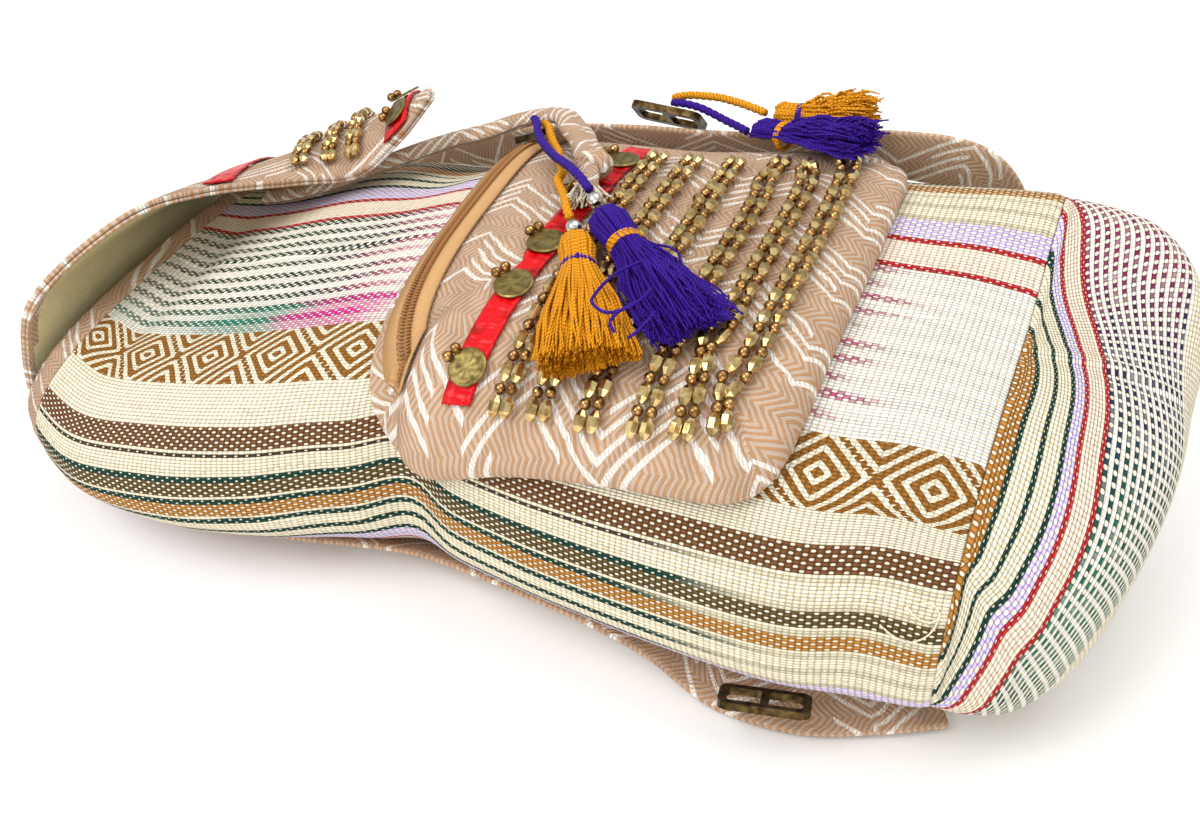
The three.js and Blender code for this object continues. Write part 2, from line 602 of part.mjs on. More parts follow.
// Strap slider: a frame of round-cornered wire with a middle bar, turned to lie on the strap.
function strapSlider(middle, turnZ, tilt) {
  const [length, width, wire] = [34, 17, 3];
  const frame = (l, w, r, PathKind) => {
    const path = new PathKind();
    path.absarc(l / 2 - r, w / 2 - r, r, 0, Math.PI / 2, false);
    path.absarc(-l / 2 + r, w / 2 - r, r, Math.PI / 2, Math.PI, false);
    path.absarc(-l / 2 + r, -w / 2 + r, r, Math.PI, Math.PI * 1.5, false);
    path.absarc(l / 2 - r, -w / 2 + r, r, Math.PI * 1.5, Math.PI * 2, false);
    path.closePath();
    return path;
  };
  const outline = frame(length, width, 4, THREE.Shape);
  outline.holes.push(frame(length - 2 * wire, width - 2 * wire, 2, THREE.Path));
  const ring = new THREE.ExtrudeGeometry(outline, { depth: wire, bevelEnabled: false, curveSegments: 2 });
  const bar = new THREE.BoxGeometry(wire, width - wire, wire);
  bar.translate(0, 0, wire / 2);
  const slider = fuse([ring, bar]);
  slider.rotateX(tilt);
  slider.rotateZ(turnZ);
  slider.translate(...middle);
  return slider;
}

function makeStraps() {
  addPiece('near_strap', bandAlong(NEAR_STRAP, 25), COLORS.jacquard);
  addPiece('far_strap', bandAlong(FAR_STRAP, 31), COLORS.jacquard);
  const degrees = THREE.MathUtils.degToRad;
  const nearSlider = strapSlider([140, -103, 18], degrees(12), degrees(-30));
  const farSlider = strapSlider([20, 112, 122], degrees(-4), degrees(-50));
  addPiece('near_strap_slider', nearSlider, COLORS.brass, 0.9, 0.4);
  addPiece('far_strap_slider', farSlider, COLORS.brass, 0.9, 0.4);
}

// Round cord along a route of chosen points
function cordAlong(route, radius, steps) {
  const curve = new THREE.CatmullRomCurve3(route.map((p) => new THREE.Vector3(...p)));
  const section = new THREE.Shape(spaced(0, 2 * Math.PI, 8).slice(0, -1).map((turn) =>
    new THREE.Vector2(radius * Math.cos(turn), radius * Math.sin(turn))));
  return new THREE.ExtrudeGeometry(section, { steps, extrudePath: curve, bevelEnabled: false });
}

// Drawstring: the same tube with an oval section, flat side down
function makeDrawstring() {
  const curve = new THREE.CatmullRomCurve3(DRAWSTRING_ROUTE.map((p) => new THREE.Vector3(...p)));
  const rings = spaced(0, 1, 18).map((share) => {
    const middle = curve.getPoint(share);
    const along = curve.getTangent(share);
    const side = along.clone().cross(new THREE.Vector3(0, 0, 1)).normalize();
    const face = side.clone().cross(along).normalize();
    return spaced(0, 2 * Math.PI, 10).slice(0, -1).map((turn) => middle.clone()
      .addScaledVector(side, DRAWSTRING.wide * Math.cos(turn))
      .addScaledVector(face, DRAWSTRING.thick * Math.sin(turn)));
  });
  addPiece('drawstring', loft(rings), COLORS.jacquard);
  const knot = new THREE.SphereGeometry(1, 12, 6).scale(8.2, 7, 6).translate(21.5, 28, 146.8);
  const end = new THREE.CylinderGeometry(4.5, 5.6, 18, 10).scale(1, 1, 0.7).rotateZ(0.35);
  end.translate(25, 15, 148);
  addPiece('drawstring_knot', fuse([knot, end]), COLORS.jacquard);
}

// Height of whatever lies highest on the front at a place: the body, or the pocket with its bead rows.
function restHeight(x, y) {
  const half = column(BODY_SECTIONS, 'half', x, 'x');
  if (Math.abs(y - column(BODY_SECTIONS, 'shift', x, 'x')) > FRONT_REACH * half) return 0;
  const a = (x - POCKET.x) / POCKET.halfLength;
  const b = (y - POCKET.y) / POCKET.halfWidth;
  const onPocket = Math.abs(a) < 1 && Math.abs(b) < 1;
  const beads = TRIM_SEAT + 2 * STRING_RADIUS;
  const height = onPocket ? POCKET_SEAT + CLOTH + pocketLift(a, b) + beads : 0;
  const front = frontPoint(x, y);
  const slope = lifted(frontPoint, x, y, 1).sub(front).z;
  return front.z + (height + TRIM_SEAT) / slope;
}

// Tassel: a bound head and a skirt of locks with uneven ends, pressed flat where it lies.
function tassel({ from, to, head, end, flat }) {
  const [start, stop] = [new THREE.Vector3(...from), new THREE.Vector3(...to)];
  const along = stop.clone().sub(start);
  const length = along.length();
  along.normalize();
  const side = along.clone().cross(new THREE.Vector3(0, 0, 1)).normalize();
  const face = side.clone().cross(along).normalize();
  const turns = spaced(0, 2 * Math.PI, TASSEL_SIDES).slice(0, -1);
  return loft(TASSEL_PROFILE.map(({ at, size, part }) => turns.map((turn) => {
    const skirt = part === 'skirt';
    const lock = skirt ? 1 + 0.12 * at * Math.cos(LOCKS * turn) : 1;
    const uneven = at === 1 ? 2 * Math.sin(3 * turn) : 0;
    const radius = size * lock * (skirt ? end : head);
    const squash = skirt ? THREE.MathUtils.lerp(0.9, flat, at) : 0.94;
    const point = start.clone().addScaledVector(along, at * length + uneven);
    point.addScaledVector(side, radius * Math.cos(turn));
    point.addScaledVector(face, radius * squash * Math.sin(turn));
    point.z = Math.max(point.z, restHeight(point.x, point.y));
    return point;
  })));
}

function makeTassels() {
  const cords = [
    ['zip_tassel_cord_purple', ZIP_CORD_PURPLE, COLORS.purple],
    ['zip_tassel_cord_mustard', ZIP_CORD_MUSTARD, COLORS.mustard],
    ['strap_tassel_cord_purple', STRAP_CORD_PURPLE, COLORS.purple],
    ['strap_tassel_cord_mustard', STRAP_CORD_MUSTARD, COLORS.mustard],
  ];
  cords.forEach(([name, route, color]) => addPiece(name, cordAlong(route, CORD_RADIUS, route.length), color));
  TASSEL_BEADS.forEach((place, i) => {
    const bead = new THREE.SphereGeometry(TASSEL_BEAD_RADIUS, 12, 6).translate(...place);
    addPiece(`zip_tassel_bead_${i + 1}`, bead, COLORS.silver, 0.9, 0.25);
  });
  TASSELS.forEach((row) => addPiece(row.name, tassel(row), row.color));
}

makeBody();
makeBase();
makeFlap();
makePocket();
makeStraps();
makeDrawstring();
makeTassels();

export default bag;
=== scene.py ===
"""Woven cotton backpack lying on its back, dressed in its cloths, beads, threads and metal.

Tables and functions are in millimetres, with X from the mouth to the base, minus Y the near side and Z up.
"""
from functools import partial

import bpy
import numpy as np
from mathutils import Matrix, Vector


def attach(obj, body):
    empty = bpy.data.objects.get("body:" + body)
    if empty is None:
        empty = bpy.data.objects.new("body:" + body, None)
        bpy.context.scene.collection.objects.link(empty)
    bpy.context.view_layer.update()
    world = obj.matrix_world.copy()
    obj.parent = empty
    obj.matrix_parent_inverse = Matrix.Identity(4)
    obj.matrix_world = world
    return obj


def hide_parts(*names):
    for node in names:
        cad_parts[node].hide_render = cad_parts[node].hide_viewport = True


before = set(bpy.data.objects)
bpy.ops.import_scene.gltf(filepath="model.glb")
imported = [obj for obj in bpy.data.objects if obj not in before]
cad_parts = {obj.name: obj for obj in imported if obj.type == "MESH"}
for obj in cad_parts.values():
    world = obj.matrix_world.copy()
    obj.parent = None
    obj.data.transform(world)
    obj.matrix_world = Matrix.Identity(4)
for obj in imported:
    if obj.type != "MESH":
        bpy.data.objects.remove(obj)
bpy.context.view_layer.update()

bl_info = {
    "name": "Woven backpack",
    "version": (1, 0, 0),
    "blender": (4, 5, 0),
    "location": "3D View > Sidebar > Backpack",
    "description": "Dresses a woven backpack in its cloths, beads, threads and metal",
    "category": "Object",
}

BAG_SHIFT = np.array([-15.4, -7.0, 0.0])  # puts the middle of the whole bag over the origin
CLOTH = 2.0
GAP = 0.4
TRIM_SEAT = 1.1
POCKET_SEAT = 1.8
MOUTH_X, SEAM_X = -193.0, 196.0
MOUTH_BAND_WIDTH, MOUTH_BAND_WALL = 11.0, 2.6
BASE_BULGE, BASE_POWER, BASE_LEAN = 61.0, 2.6, 12.0
BASE_POLE = (24.0, 76.0)
FLOOR_PRESS, FRONT_POWER, BACK_POWER = 1.12, 3.1, 2.0
FLAP_CLOTH, LINING_CLOTH, FLAP_LENGTH, FLAP_SEAT = 2.2, 1.4, 290.0, 1.0
POCKET_X, POCKET_Y, POCKET_LONG, POCKET_WIDE, POCKET_SKEW = 51.0, 2.0, 87.0, 95.0, 0.1
POCKET_DEPTH, POCKET_LEAN, POCKET_CROWN, POCKET_CORNER, POCKET_EDGE = 12.0, 4.0, 2.0, 9.0, 13.0
ZIP_SLOPE = 0.4
RIBBON_WIDTH, RIBBON_CLOTH = 11.0, 0.8
COIN_RADIUS, COIN_THICK, COIN_BEAD = 7.4, 1.2, 2.1
STRING_RADIUS, STRING_PITCH = 2.4, 4.7
STRAP_WIDTH, STRAP_CLOTH = 27.0, 3.0
CORD_RADIUS = 1.9
DRAWSTRING_WIDE, DRAWSTRING_THICK = 6.2, 3.2
CLOTH_ROUND = 594.0  # width of striped cloth round the body
SEAM_GROOVE, GROOVE_REACH = 1.3, 2.2  # depth and reach of the groove along the base seam
FOLD_SOFT = 20  # keeps the folds from pinching the middle

# Sections of the body: place along it, half width, shift, height of the widest place, top, far side's rise
BODY_SECTIONS = np.array([
    (-205, 95, 1, 37, 69, 0), (-185, 106, 1, 38, 70, 0), (-150, 118, 1, 40, 77, 0), (-113, 121, 2, 41, 88, 0),
    (-76, 114, 3, 42, 103, 0), (-39, 102, 4, 44, 116, 0), (0, 100, 5, 45, 121, 0), (50, 107, 5, 47, 123, 0),
    (100, 112, 5, 48, 125, 0.2), (150, 112, 5, 48, 125, 0.36), (196, 105, 7, 48, 118, 0.75)], float)
# Folds of the body: place along it, turn round it, reach, spread, lean, depth
FOLDS = ((-10, 10, 15, 46, 0.15, 9), (-172, 75, 9, 26, -0.1, 6), (-120, 118, 26, 22, 0, -5),
         (-72, 122, 22, 20, 0.2, 6), (-165, 8, 30, 24, 0, -4), (172, 10, 16, 30, 0.2, 4))
# Sections of the flap: share of its length, then x, y, z of its near edge, its middle and its far edge
FLAP_SECTIONS = np.array([
    (0, -207, -86, 4, -207, 0, 4, -207, 86, 4), (0.12, -213, -84, 28, -215, 0, 26, -217, 84, 24),
    (0.26, -212, -79, 64, -218, 2, 57, -223, 80, 44), (0.36, -206, -67, 90, -216, 8, 77, -226, 84, 54),
    (0.5, -178, -30, 114, -204, 32, 84, -222, 88, 57), (0.62, -164, 5, 109, -183, 54, 87, -202, 98, 58),
    (0.75, -138, 40, 99, -156, 82, 91, -174, 112, 62), (0.87, -113, 54, 100, -128, 87, 105, -143, 112, 84),
    (0.95, -90, 60, 121, -98, 80, 124, -105, 97, 115), (1, -74, 65, 141, -77, 70, 140, -80, 76, 138)], float)
FLAP_RIBBONS, FLAP_ROWS, FLAP_COINS = (0.64, 0.95), (0.745, 0.805, 0.865), (-0.45, 0.4)
POCKET_RIBBON_X, POCKET_RIBBON_SLANT, POCKET_RIBBON_NEAR, POCKET_RIBBON_FAR = -26.0, 0.05, -82.0, 60.0
POCKET_COINS_Y = (-74, -46, -23, 9, 43)
# Bead rows of the pocket: place along the bag, near end, far end
POCKET_ROWS = ((-11, -84, 53), (4, -84, 54), (22, -85, 56), (40, -85, 61), (54, -84, 64), (67, -83, 71))
# Straps: x, y, z of the middle, lean in degrees
NEAR_STRAP = np.array([
    (197, -66, 3, -5), (174, -78, 4, 0), (150, -87, 5, 12), (122, -88, 5, 8), (92, -78, 5, -8),
    (50, -75, 8, -26), (-20, -70, 8, -28), (-90, -78, 5.2, -15), (-150, -80, 5.2, -15),
    (-192, -76, 6.2, -20)], float)
FAR_STRAP = np.array([
    (178, 90, 7.4, -140), (178, 128, 42, -100), (171, 131, 86, -92), (156, 125, 113, -86),
    (124, 121, 118, -76), (80, 115, 115, -58), (40, 112, 112, -56), (6, 111, 108, -60),
    (-36, 116, 96, -68), (-90, 128, 70, -84), (-150, 126, 32, -108), (-190, 78, 6.2, -161)], float)
DRAWSTRING_ROUTE = np.array([
    (-172, 56, 74.6), (-158, 56, 79), (-140, 60, 85), (-118, 70, 93), (-98, 80, 100),
    (-80, 88, 106), (-64, 92, 111), (-48, 96, 117.5), (-33, 95, 123.5), (-20, 87, 129),
    (-8, 72, 133.5), (2, 59, 137.5), (10, 46, 141.5), (17, 36, 145)], float)
CORD_ROUTES = {
    "zip_tassel_cord_purple": (
        (-29.5, 76.5, 132.4), (-25, 70, 134.6), (-20, 61, 136.4), (-14, 52, 138), (-6, 42, 141), (2, 32, 145),
        (10, 23, 149), (18, 14, 153), (26, 6, 155), (33, -1, 155)),
    "zip_tassel_cord_mustard": (
        (-25, 76.5, 130.8), (-20.5, 72, 132.5), (-15, 63, 134.2), (-9, 54, 136), (-2, 44, 139),
        (4, 33, 141.6), (10, 23, 144), (12.8, 13, 146.6), (20, 3, 147.8), (26, -7, 149),
        (30, -13, 149.2)),
    "strap_tassel_cord_purple": (
        (22, 113, 130), (29, 111, 131.5), (36, 109, 132), (43, 106, 132), (50, 103, 131.5), (57, 99, 132),
        (63, 95, 132.6)),
    "strap_tassel_cord_mustard": (
        (20, 119, 129), (28, 118, 132), (36, 116, 134), (44, 114, 135.5), (52, 111, 136.5), (60, 108, 137),
        (68, 105, 137)),
}


class StageSettings(bpy.types.PropertyGroup):
    """Camera of the stage"""
    elevation: bpy.props.FloatProperty(
        name="Elevation", description="Angle at which the camera looks down", default=np.radians(41.7),
        subtype="ANGLE")
    azimuth: bpy.props.FloatProperty(
        name="Azimuth", description="Turn of the camera towards the base", default=np.radians(26.3),
        subtype="ANGLE")
    roll: bpy.props.FloatProperty(
        name="Roll", description="Roll of the camera", default=np.radians(-4.0), subtype="ANGLE")
    lens: bpy.props.FloatProperty(
        name="Lens", description="Focal length on a 36 mm sensor", default=39.0, subtype="DISTANCE_CAMERA")
    eye: bpy.props.FloatVectorProperty(
        name="Eye", description="Place of the camera", default=(0.2016, -0.384, 0.418), subtype="TRANSLATION",
        unit="LENGTH")


class WeaveSettings(bpy.types.PropertyGroup):
    """Striped cotton cloth"""
    warp: bpy.props.FloatProperty(
        name="Warp pitch", description="Between two warp threads", default=0.00145, unit="LENGTH")
    pick: bpy.props.FloatProperty(
        name="Pick pitch", description="Between two weft threads", default=0.0023, unit="LENGTH")
    skew: bpy.props.FloatProperty(
        name="Skew", description="Drift of the stripes over the front, per length of the bag", default=0.05)


# Geometry of the bag


def column(rows, key, value):
    """Cubic through a table's rows: column key at values of the first column, slopes from the neighbours."""
    at, val = rows[:, 0], rows[:, key]
    value = np.clip(np.asarray(value, float), at[0], at[-1])
    i = np.clip(np.searchsorted(at, value) - 1, 0, len(at) - 2)
    index = np.arange(len(at))
    before, after = np.maximum(index - 1, 0), np.minimum(index + 1, len(at) - 1)
    slope = (val[after] - val[before]) / (at[after] - at[before])
    span = at[i + 1] - at[i]
    t = (value - at[i]) / span
    rise = t * t * (3 - 2 * t)
    leave = t * (1 - t) ** 2 * span * slope[i]
    arrive = t * t * (t - 1) * span * slope[i + 1]
    return val[i] * (1 - rise) + val[i + 1] * rise + leave + arrive


def lifted(surface, u, v, lift):
    """Point of a surface moved along its unit normal, the cross product of its slopes in both parameters."""
    step = 0.002
    along_u = surface(u + step, v) - surface(u - step, v)
    along_v = surface(u, v + step) - surface(u, v - step)
    normal = np.cross(along_u, along_v)
    normal /= np.maximum(np.linalg.norm(normal, axis=-1, keepdims=True), 1e-12)
    return surface(u, v) + normal * np.asarray(lift, float)[..., None]


def fold_depth(x, degrees):
    """Sum of bells: depth times the exponential of minus the squared distances along and round the body."""
    total = 0
    for place, turn, reach, spread, lean, depth in FOLDS:
        around = (degrees - turn + 540) % 360 - 180
        along = x - place - lean * around
        total = total + depth * np.exp(-(along / reach) ** 2 - (around / spread) ** 2)
    return total


def body_point(x, turn):
    """Section with rounded powers of cosine and sine, flat on the floor, pushed in by the folds."""
    x, turn = np.broadcast_arrays(np.asarray(x, float), np.asarray(turn, float))
    half, shift, widest, top, rise = (column(BODY_SECTIONS, key, x) for key in range(1, 6))
    c, s = np.cos(turn), np.sin(turn)
    power = np.where(s < 0, BACK_POWER, FRONT_POWER)
    out = -half * np.sign(c) * np.abs(c) ** (2 / power)
    height = np.abs(s) ** (2 / power)
    far = np.maximum(0, out / half)
    up = np.where(s < 0, -widest * FLOOR_PRESS * height, (top - widest) * height * (1 + rise * far * far))
    inwards = 1 - fold_depth(x, np.degrees(turn)) / np.sqrt(out ** 2 + up ** 2 + FOLD_SOFT ** 2)
    return np.stack([x, shift + out * inwards, np.maximum(0, widest + up * inwards)], -1)


def front_point(x, y):
    """Body point of the front at a place along and across the bag, by the inverse of the section's power."""
    x, y = np.broadcast_arrays(np.asarray(x, float), np.asarray(y, float))
    across = (y - column(BODY_SECTIONS, 2, x)) / column(BODY_SECTIONS, 1, x)
    turn = np.arccos(np.minimum(np.abs(across), 1) ** (FRONT_POWER / 2))
    return body_point(x, np.where(across < 0, turn, np.pi - turn))


def base_point(size, turn):
    """Seam section shrunk to the pole by size, while the bulge grows as a rounded power of what is left."""
    seam = body_point(np.full_like(turn, SEAM_X), turn)
    swing = np.clip(size, 0, 1) ** (BASE_POWER / 2)
    reach = np.sqrt(np.maximum(0, 1 - swing ** 2)) ** (2 / BASE_POWER)
    y = BASE_POLE[0] + (seam[..., 1] - BASE_POLE[0]) * size
    z = BASE_POLE[1] + (seam[..., 2] - BASE_POLE[1]) * size
    lean = BASE_LEAN * reach * (z - BASE_POLE[1]) / BASE_POLE[1]
    return np.stack([SEAM_X + GAP + BASE_BULGE * reach + lean, y, z], -1)


def flap_point(at, across):
    """Tongue along the flap's table: a parabola across it, through its near edge, middle and far edge."""
    at, across = np.broadcast_arrays(np.asarray(at, float), np.asarray(across, float))
    near, middle, far = (np.stack([column(FLAP_SECTIONS, key + k, at) for k in range(3)], -1)
                         for key in (1, 4, 7))
    s = across[..., None]
    return near * s * (s - 1) / 2 + middle * (1 - s * s) + far * s * (s + 1) / 2


def pocket_lift(a, b):
    """Height of the pocket: square roots at three edges, a quarter sine at the zipped end, a low crown."""
    edge = np.sqrt(np.maximum(0, 1 - np.abs(b) ** POCKET_EDGE))
    slope = np.sin(np.clip((1 + a) / ZIP_SLOPE, 0, 1) * np.pi / 2)
    end = np.where(a > 0, np.sqrt(np.maximum(0, 1 - np.maximum(a, 0) ** POCKET_EDGE)), slope)
    crown = POCKET_CROWN * (1 - a * a) * (1 - b * b)
    return (POCKET_DEPTH - POCKET_LEAN * b + crown) * edge * end


def pocket_plan(a, b):
    """Square drawn in to round corners, by the ratio of its largest side to a high-power sum of both."""
    square = np.maximum(np.maximum(np.abs(a), np.abs(b)), 1e-6)
    rounded = (np.abs(a) ** POCKET_CORNER + np.abs(b) ** POCKET_CORNER) ** (1 / POCKET_CORNER)
    pull = square / np.maximum(rounded, 1e-6)
    across = b * pull * POCKET_WIDE
    lean = POCKET_SKEW * across * np.maximum(0, -a)
    return POCKET_X + a * pull * POCKET_LONG - lean, POCKET_Y + across


def pocket_point(a, b):
    """Front of the body lifted by the pocket's height."""
    a, b = np.broadcast_arrays(np.asarray(a, float), np.asarray(b, float))
    x, y = pocket_plan(a, b)
    return lifted(front_point, x, y, POCKET_SEAT + CLOTH + pocket_lift(a, b))


def route(points, share):
    """Centripetal Catmull-Rom cubic through a row of points, at shares of its knots."""
    p = np.asarray(points, float)
    p = np.vstack([2 * p[0] - p[1], p, 2 * p[-1] - p[-2]])
    place = np.clip(np.asarray(share, float), 0, 1) * (len(p) - 3)
    i = np.minimum(place.astype(int), len(p) - 4)
    t = (place - i)[:, None]
    p0, p1, p2, p3 = p[i], p[i + 1], p[i + 2], p[i + 3]
    d0, d1, d2 = (np.sqrt(np.linalg.norm(b - a, axis=1))[:, None] for a, b in ((p0, p1), (p1, p2), (p2, p3)))
    m1 = ((p1 - p0) / d0 - (p2 - p0) / (d0 + d1) + (p2 - p1) / d1) * d1
    m2 = ((p2 - p1) / d1 - (p3 - p1) / (d1 + d2) + (p3 - p2) / d2) * d1
    return p1 + m1 * t + (3 * (p2 - p1) - 2 * m1 - m2) * t ** 2 + (2 * (p1 - p2) + m1 + m2) * t ** 3


def unit(vectors):
    """Vectors divided by their length."""
    return vectors / np.maximum(np.linalg.norm(vectors, axis=-1, keepdims=True), 1e-12)


def tangents(line):
    """Unit differences along a row of points."""
    return unit(np.gradient(line, axis=0))


def arc(line):
    """Running length along a row of points."""
    return np.concatenate([[0], np.cumsum(np.linalg.norm(np.diff(line, axis=0), axis=1))])


# Meshes


def circle(count):
    """Angles of equal steps round a full turn."""
    return np.linspace(0, 2 * np.pi, count + 1)[:-1]


def axes_across(along, up=(0, 0, 1)):
    """Two unit axes across a direction: the one level with up's plane, and the one that stands on both."""
    side = unit(np.cross(along, np.asarray(up, float)))
    return side, np.cross(side, along)


def grid_faces(rows, cols, start=0, closed=False):
    """Quads of a grid of points numbered row by row; a closed grid joins its last column to its first."""
    r, c = np.meshgrid(np.arange(rows - 1), np.arange(cols if closed else cols - 1), indexing="ij")
    a = start + r * cols + c
    b = start + r * cols + (c + 1) % cols
    return np.stack([a, a + cols, b + cols, b], -1).reshape(-1, 4)


def grid_numbers(rows, cols):
    """Row and column number of each point of a grid."""
    return np.stack(np.meshgrid(np.arange(rows), np.arange(cols), indexing="ij"), -1).reshape(-1, 2)


def copies(faces, count, size):
    """Quads of a shape of so many points, repeated with their numbers carried on."""
    return (np.arange(count)[:, None, None] * size + faces[None]).reshape(-1, faces.shape[1])


def metres(points):
    """Bag millimetres to row-frame metres."""
    return (np.asarray(points, float).reshape(-1, 3) + BAG_SHIFT) / 1000


def add_piece(name, slot, node, shape, finishes, second=None, smooth=True, lozenge=None, **face_values):
    """One piece from a shape of points, quads and UV, riding on the bag and standing for a node; its slot is
    not used.

    The faces marked in second take the second finish. Lozenge is a value for each point, and the rest are
    values or colours for each face.
    """
    points, faces, uv = shape
    mesh = bpy.data.meshes.new(name)
    mesh.from_pydata(metres(points).tolist(), [], np.asarray(faces).tolist())
    corner = np.zeros(len(mesh.loops), np.int32)
    mesh.loops.foreach_get("vertex_index", corner)
    uv = np.asarray(uv, float).reshape(-1, 2)[corner]
    mesh.uv_layers.new(name="cloth").data.foreach_set("uv", uv.ravel())
    if lozenge is not None:
        mesh.attributes.new("lozenge", "FLOAT", "POINT").data.foreach_set("value", lozenge)
    for key, values in face_values.items():
        values = np.asarray(values, float)
        kind, field = ("FLOAT_COLOR", "color") if values.ndim == 2 else ("FLOAT", "value")
        mesh.attributes.new(key, kind, "FACE").data.foreach_set(field, values.ravel())
    for finish in finishes:
        mesh.materials.append(material(finish))
    if second is not None:
        mesh.polygons.foreach_set("material_index", np.asarray(second, np.int32))
    mesh.polygons.foreach_set("use_smooth", np.ones(len(mesh.polygons), bool) & smooth)
    mesh.update()
    piece = bpy.data.objects.new(name, mesh)
    bpy.context.collection.objects.link(piece)
    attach(piece, "root")
    if node:
        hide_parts(node)
    return piece


def skin(line, rings, length, girth):
    """Quads round the rings along a line, both ends drawn in to it, with UV by the length and the girth."""
    sides = rings.shape[1]
    ends = [np.repeat(line[[k]], sides, 0)[None] for k in (0, -1)]
    points = np.concatenate([ends[0], rings, ends[1]])
    run = np.concatenate([length[:1], length, length[-1:]])
    uv = np.stack(np.broadcast_arrays(run[:, None], girth[None]), -1)
    return points.reshape(-1, 3), grid_faces(len(points), sides, 0, True), uv.reshape(-1, 2)


def tube(line, radius, sides, twist=0.0, lobes=0, depth=0.0, up=(0, 0, 1)):
    """Round section carried along a line; lobes of a given depth wind round it by a twist, in turns a mm."""
    line = np.asarray(line, float)
    side, face = axes_across(tangents(line), up)
    length, turn = arc(line), circle(sides)
    wound = turn[None] - 2 * np.pi * twist * length[:, None]
    size = np.broadcast_to(np.asarray(radius, float), length.shape)[:, None]
    size = size * (1 - depth * (0.5 - 0.5 * np.cos(lobes * wound)))
    rings = line[:, None] + size[..., None] * (
        np.cos(turn)[None, :, None] * side[:, None] + np.sin(turn)[None, :, None] * face[:, None])
    return skin(line, rings, length, turn * np.mean(radius))


def strip_on(surface, stations, profile, place):
    """Closed profile of (offset, lift) pairs carried along stations on a surface, with UV along and round."""
    offsets, lifts = np.asarray(profile, float).T
    rings = lifted(surface, *place(stations[:, None], offsets[None]), lifts)
    middle = rings.mean(1)
    girth = arc(np.vstack([rings[0], rings[0][:1]]))[:-1]
    return skin(middle, rings, arc(middle), girth)


def wall(outer, inner, uv, closed_round=False):
    """Closed sheet between two grids of points that share a UV; the outer faces come first."""
    rows, cols = outer.shape[:2]
    count = rows * cols
    number = np.arange(count).reshape(rows, cols)
    rims = [(number[0], 1), (number[-1], -1)]
    if closed_round:
        rims = [(np.append(edge, edge[0]), way) for edge, way in rims]
    else:
        rims += [(number[:, 0], -1), (number[:, -1], 1)]
    faces = [grid_faces(rows, cols, 0, closed_round), grid_faces(rows, cols, count, closed_round)[:, ::-1]]
    for edge, way in rims:
        quad = np.stack([edge[:-1], edge[1:], edge[1:] + count, edge[:-1] + count], -1)
        faces.append(quad[:, ::way])
    points = np.concatenate([outer.reshape(-1, 3), inner.reshape(-1, 3)])
    return points, np.vstack(faces), np.vstack([uv.reshape(-1, 2)] * 2)


def solid_of_turning(profile, sides):
    """Points and quads of a (place along, radius) profile turned round its axis, the first axis."""
    profile, turn = np.asarray(profile, float), circle(sides)
    points = np.stack(np.broadcast_arrays(
        profile[:, :1], profile[:, 1:] * np.cos(turn)[None], profile[:, 1:] * np.sin(turn)[None]), -1)
    return points.reshape(-1, 3), grid_faces(len(profile), sides, 0, True)


def placed(shape, middle, along, normal):
    """Copies of a shape at each middle, its first axis along and its third by the normal, with a blank UV."""
    points, faces = shape
    side = unit(np.cross(normal, along))
    axes = np.stack([along, side, np.cross(along, side)], 1)
    moved = (middle[:, None] + np.einsum("pk,nkc->npc", points, axes)).reshape(-1, 3)
    return moved, copies(faces, len(middle), len(points)), np.zeros((len(moved), 2))


def join(parts):
    """Several shapes of points, quads and UV as one, with the quads renumbered."""
    start, points, faces, uvs = 0, [], [], []
    for p, f, uv in parts:
        points.append(p.reshape(-1, 3))
        faces.append(np.asarray(f) + start)
        uvs.append(uv.reshape(-1, 2))
        start += len(points[-1])
    return np.vstack(points), np.vstack(faces), np.vstack(uvs)


def after(parts, first):
    """Marks the quads of joined parts that follow the first few parts."""
    counts = [len(faces) for _, faces, _ in parts]
    return np.arange(sum(counts)) >= sum(counts[:first])


# Materials


def linear(code):
    """Linear RGBA of an sRGB hex colour."""
    s = np.array([int(code[i:i + 2], 16) for i in (1, 3, 5)]) / 255
    rgb = np.where(s <= 0.04045, s / 12.92, ((s + 0.055) / 1.055) ** 2.4)
    return (*rgb.tolist(), 1.0)


MAIN_SETTING = {"Math": "operation", "Mix": "data_type"}


def add_node(tree, kind, *values, **named):
    """New node of a kind, or of a kind and its main setting with a dot between, with its settings and links.

    Values go to the open inputs in turn. A name that the node itself has is a setting, and any other is an
    input. A socket is linked. The result is the open output, or all outputs where several are open.
    """
    kind, _, setting = kind.partition(".")
    made = tree.nodes.new("ShaderNode" + kind)
    if setting:
        setattr(made, MAIN_SETTING[kind], setting)
    given = []
    for key, value in named.items():
        if key in made.bl_rna.properties:
            setattr(made, key, value)
        else:
            given.append((made.inputs[key.replace("_", " ")], value))
    given.extend(zip([socket for socket in made.inputs if socket.enabled], values))
    for socket, value in given:
        if isinstance(value, bpy.types.NodeSocket):
            tree.links.new(value, socket)
        else:
            socket.default_value = value
    outputs = [socket for socket in made.outputs if socket.enabled]
    return outputs[0] if len(outputs) == 1 else made.outputs


def matt_paint(node, code):
    """One even colour."""
    return {"Base_Color": linear(code), "Roughness": MATT}


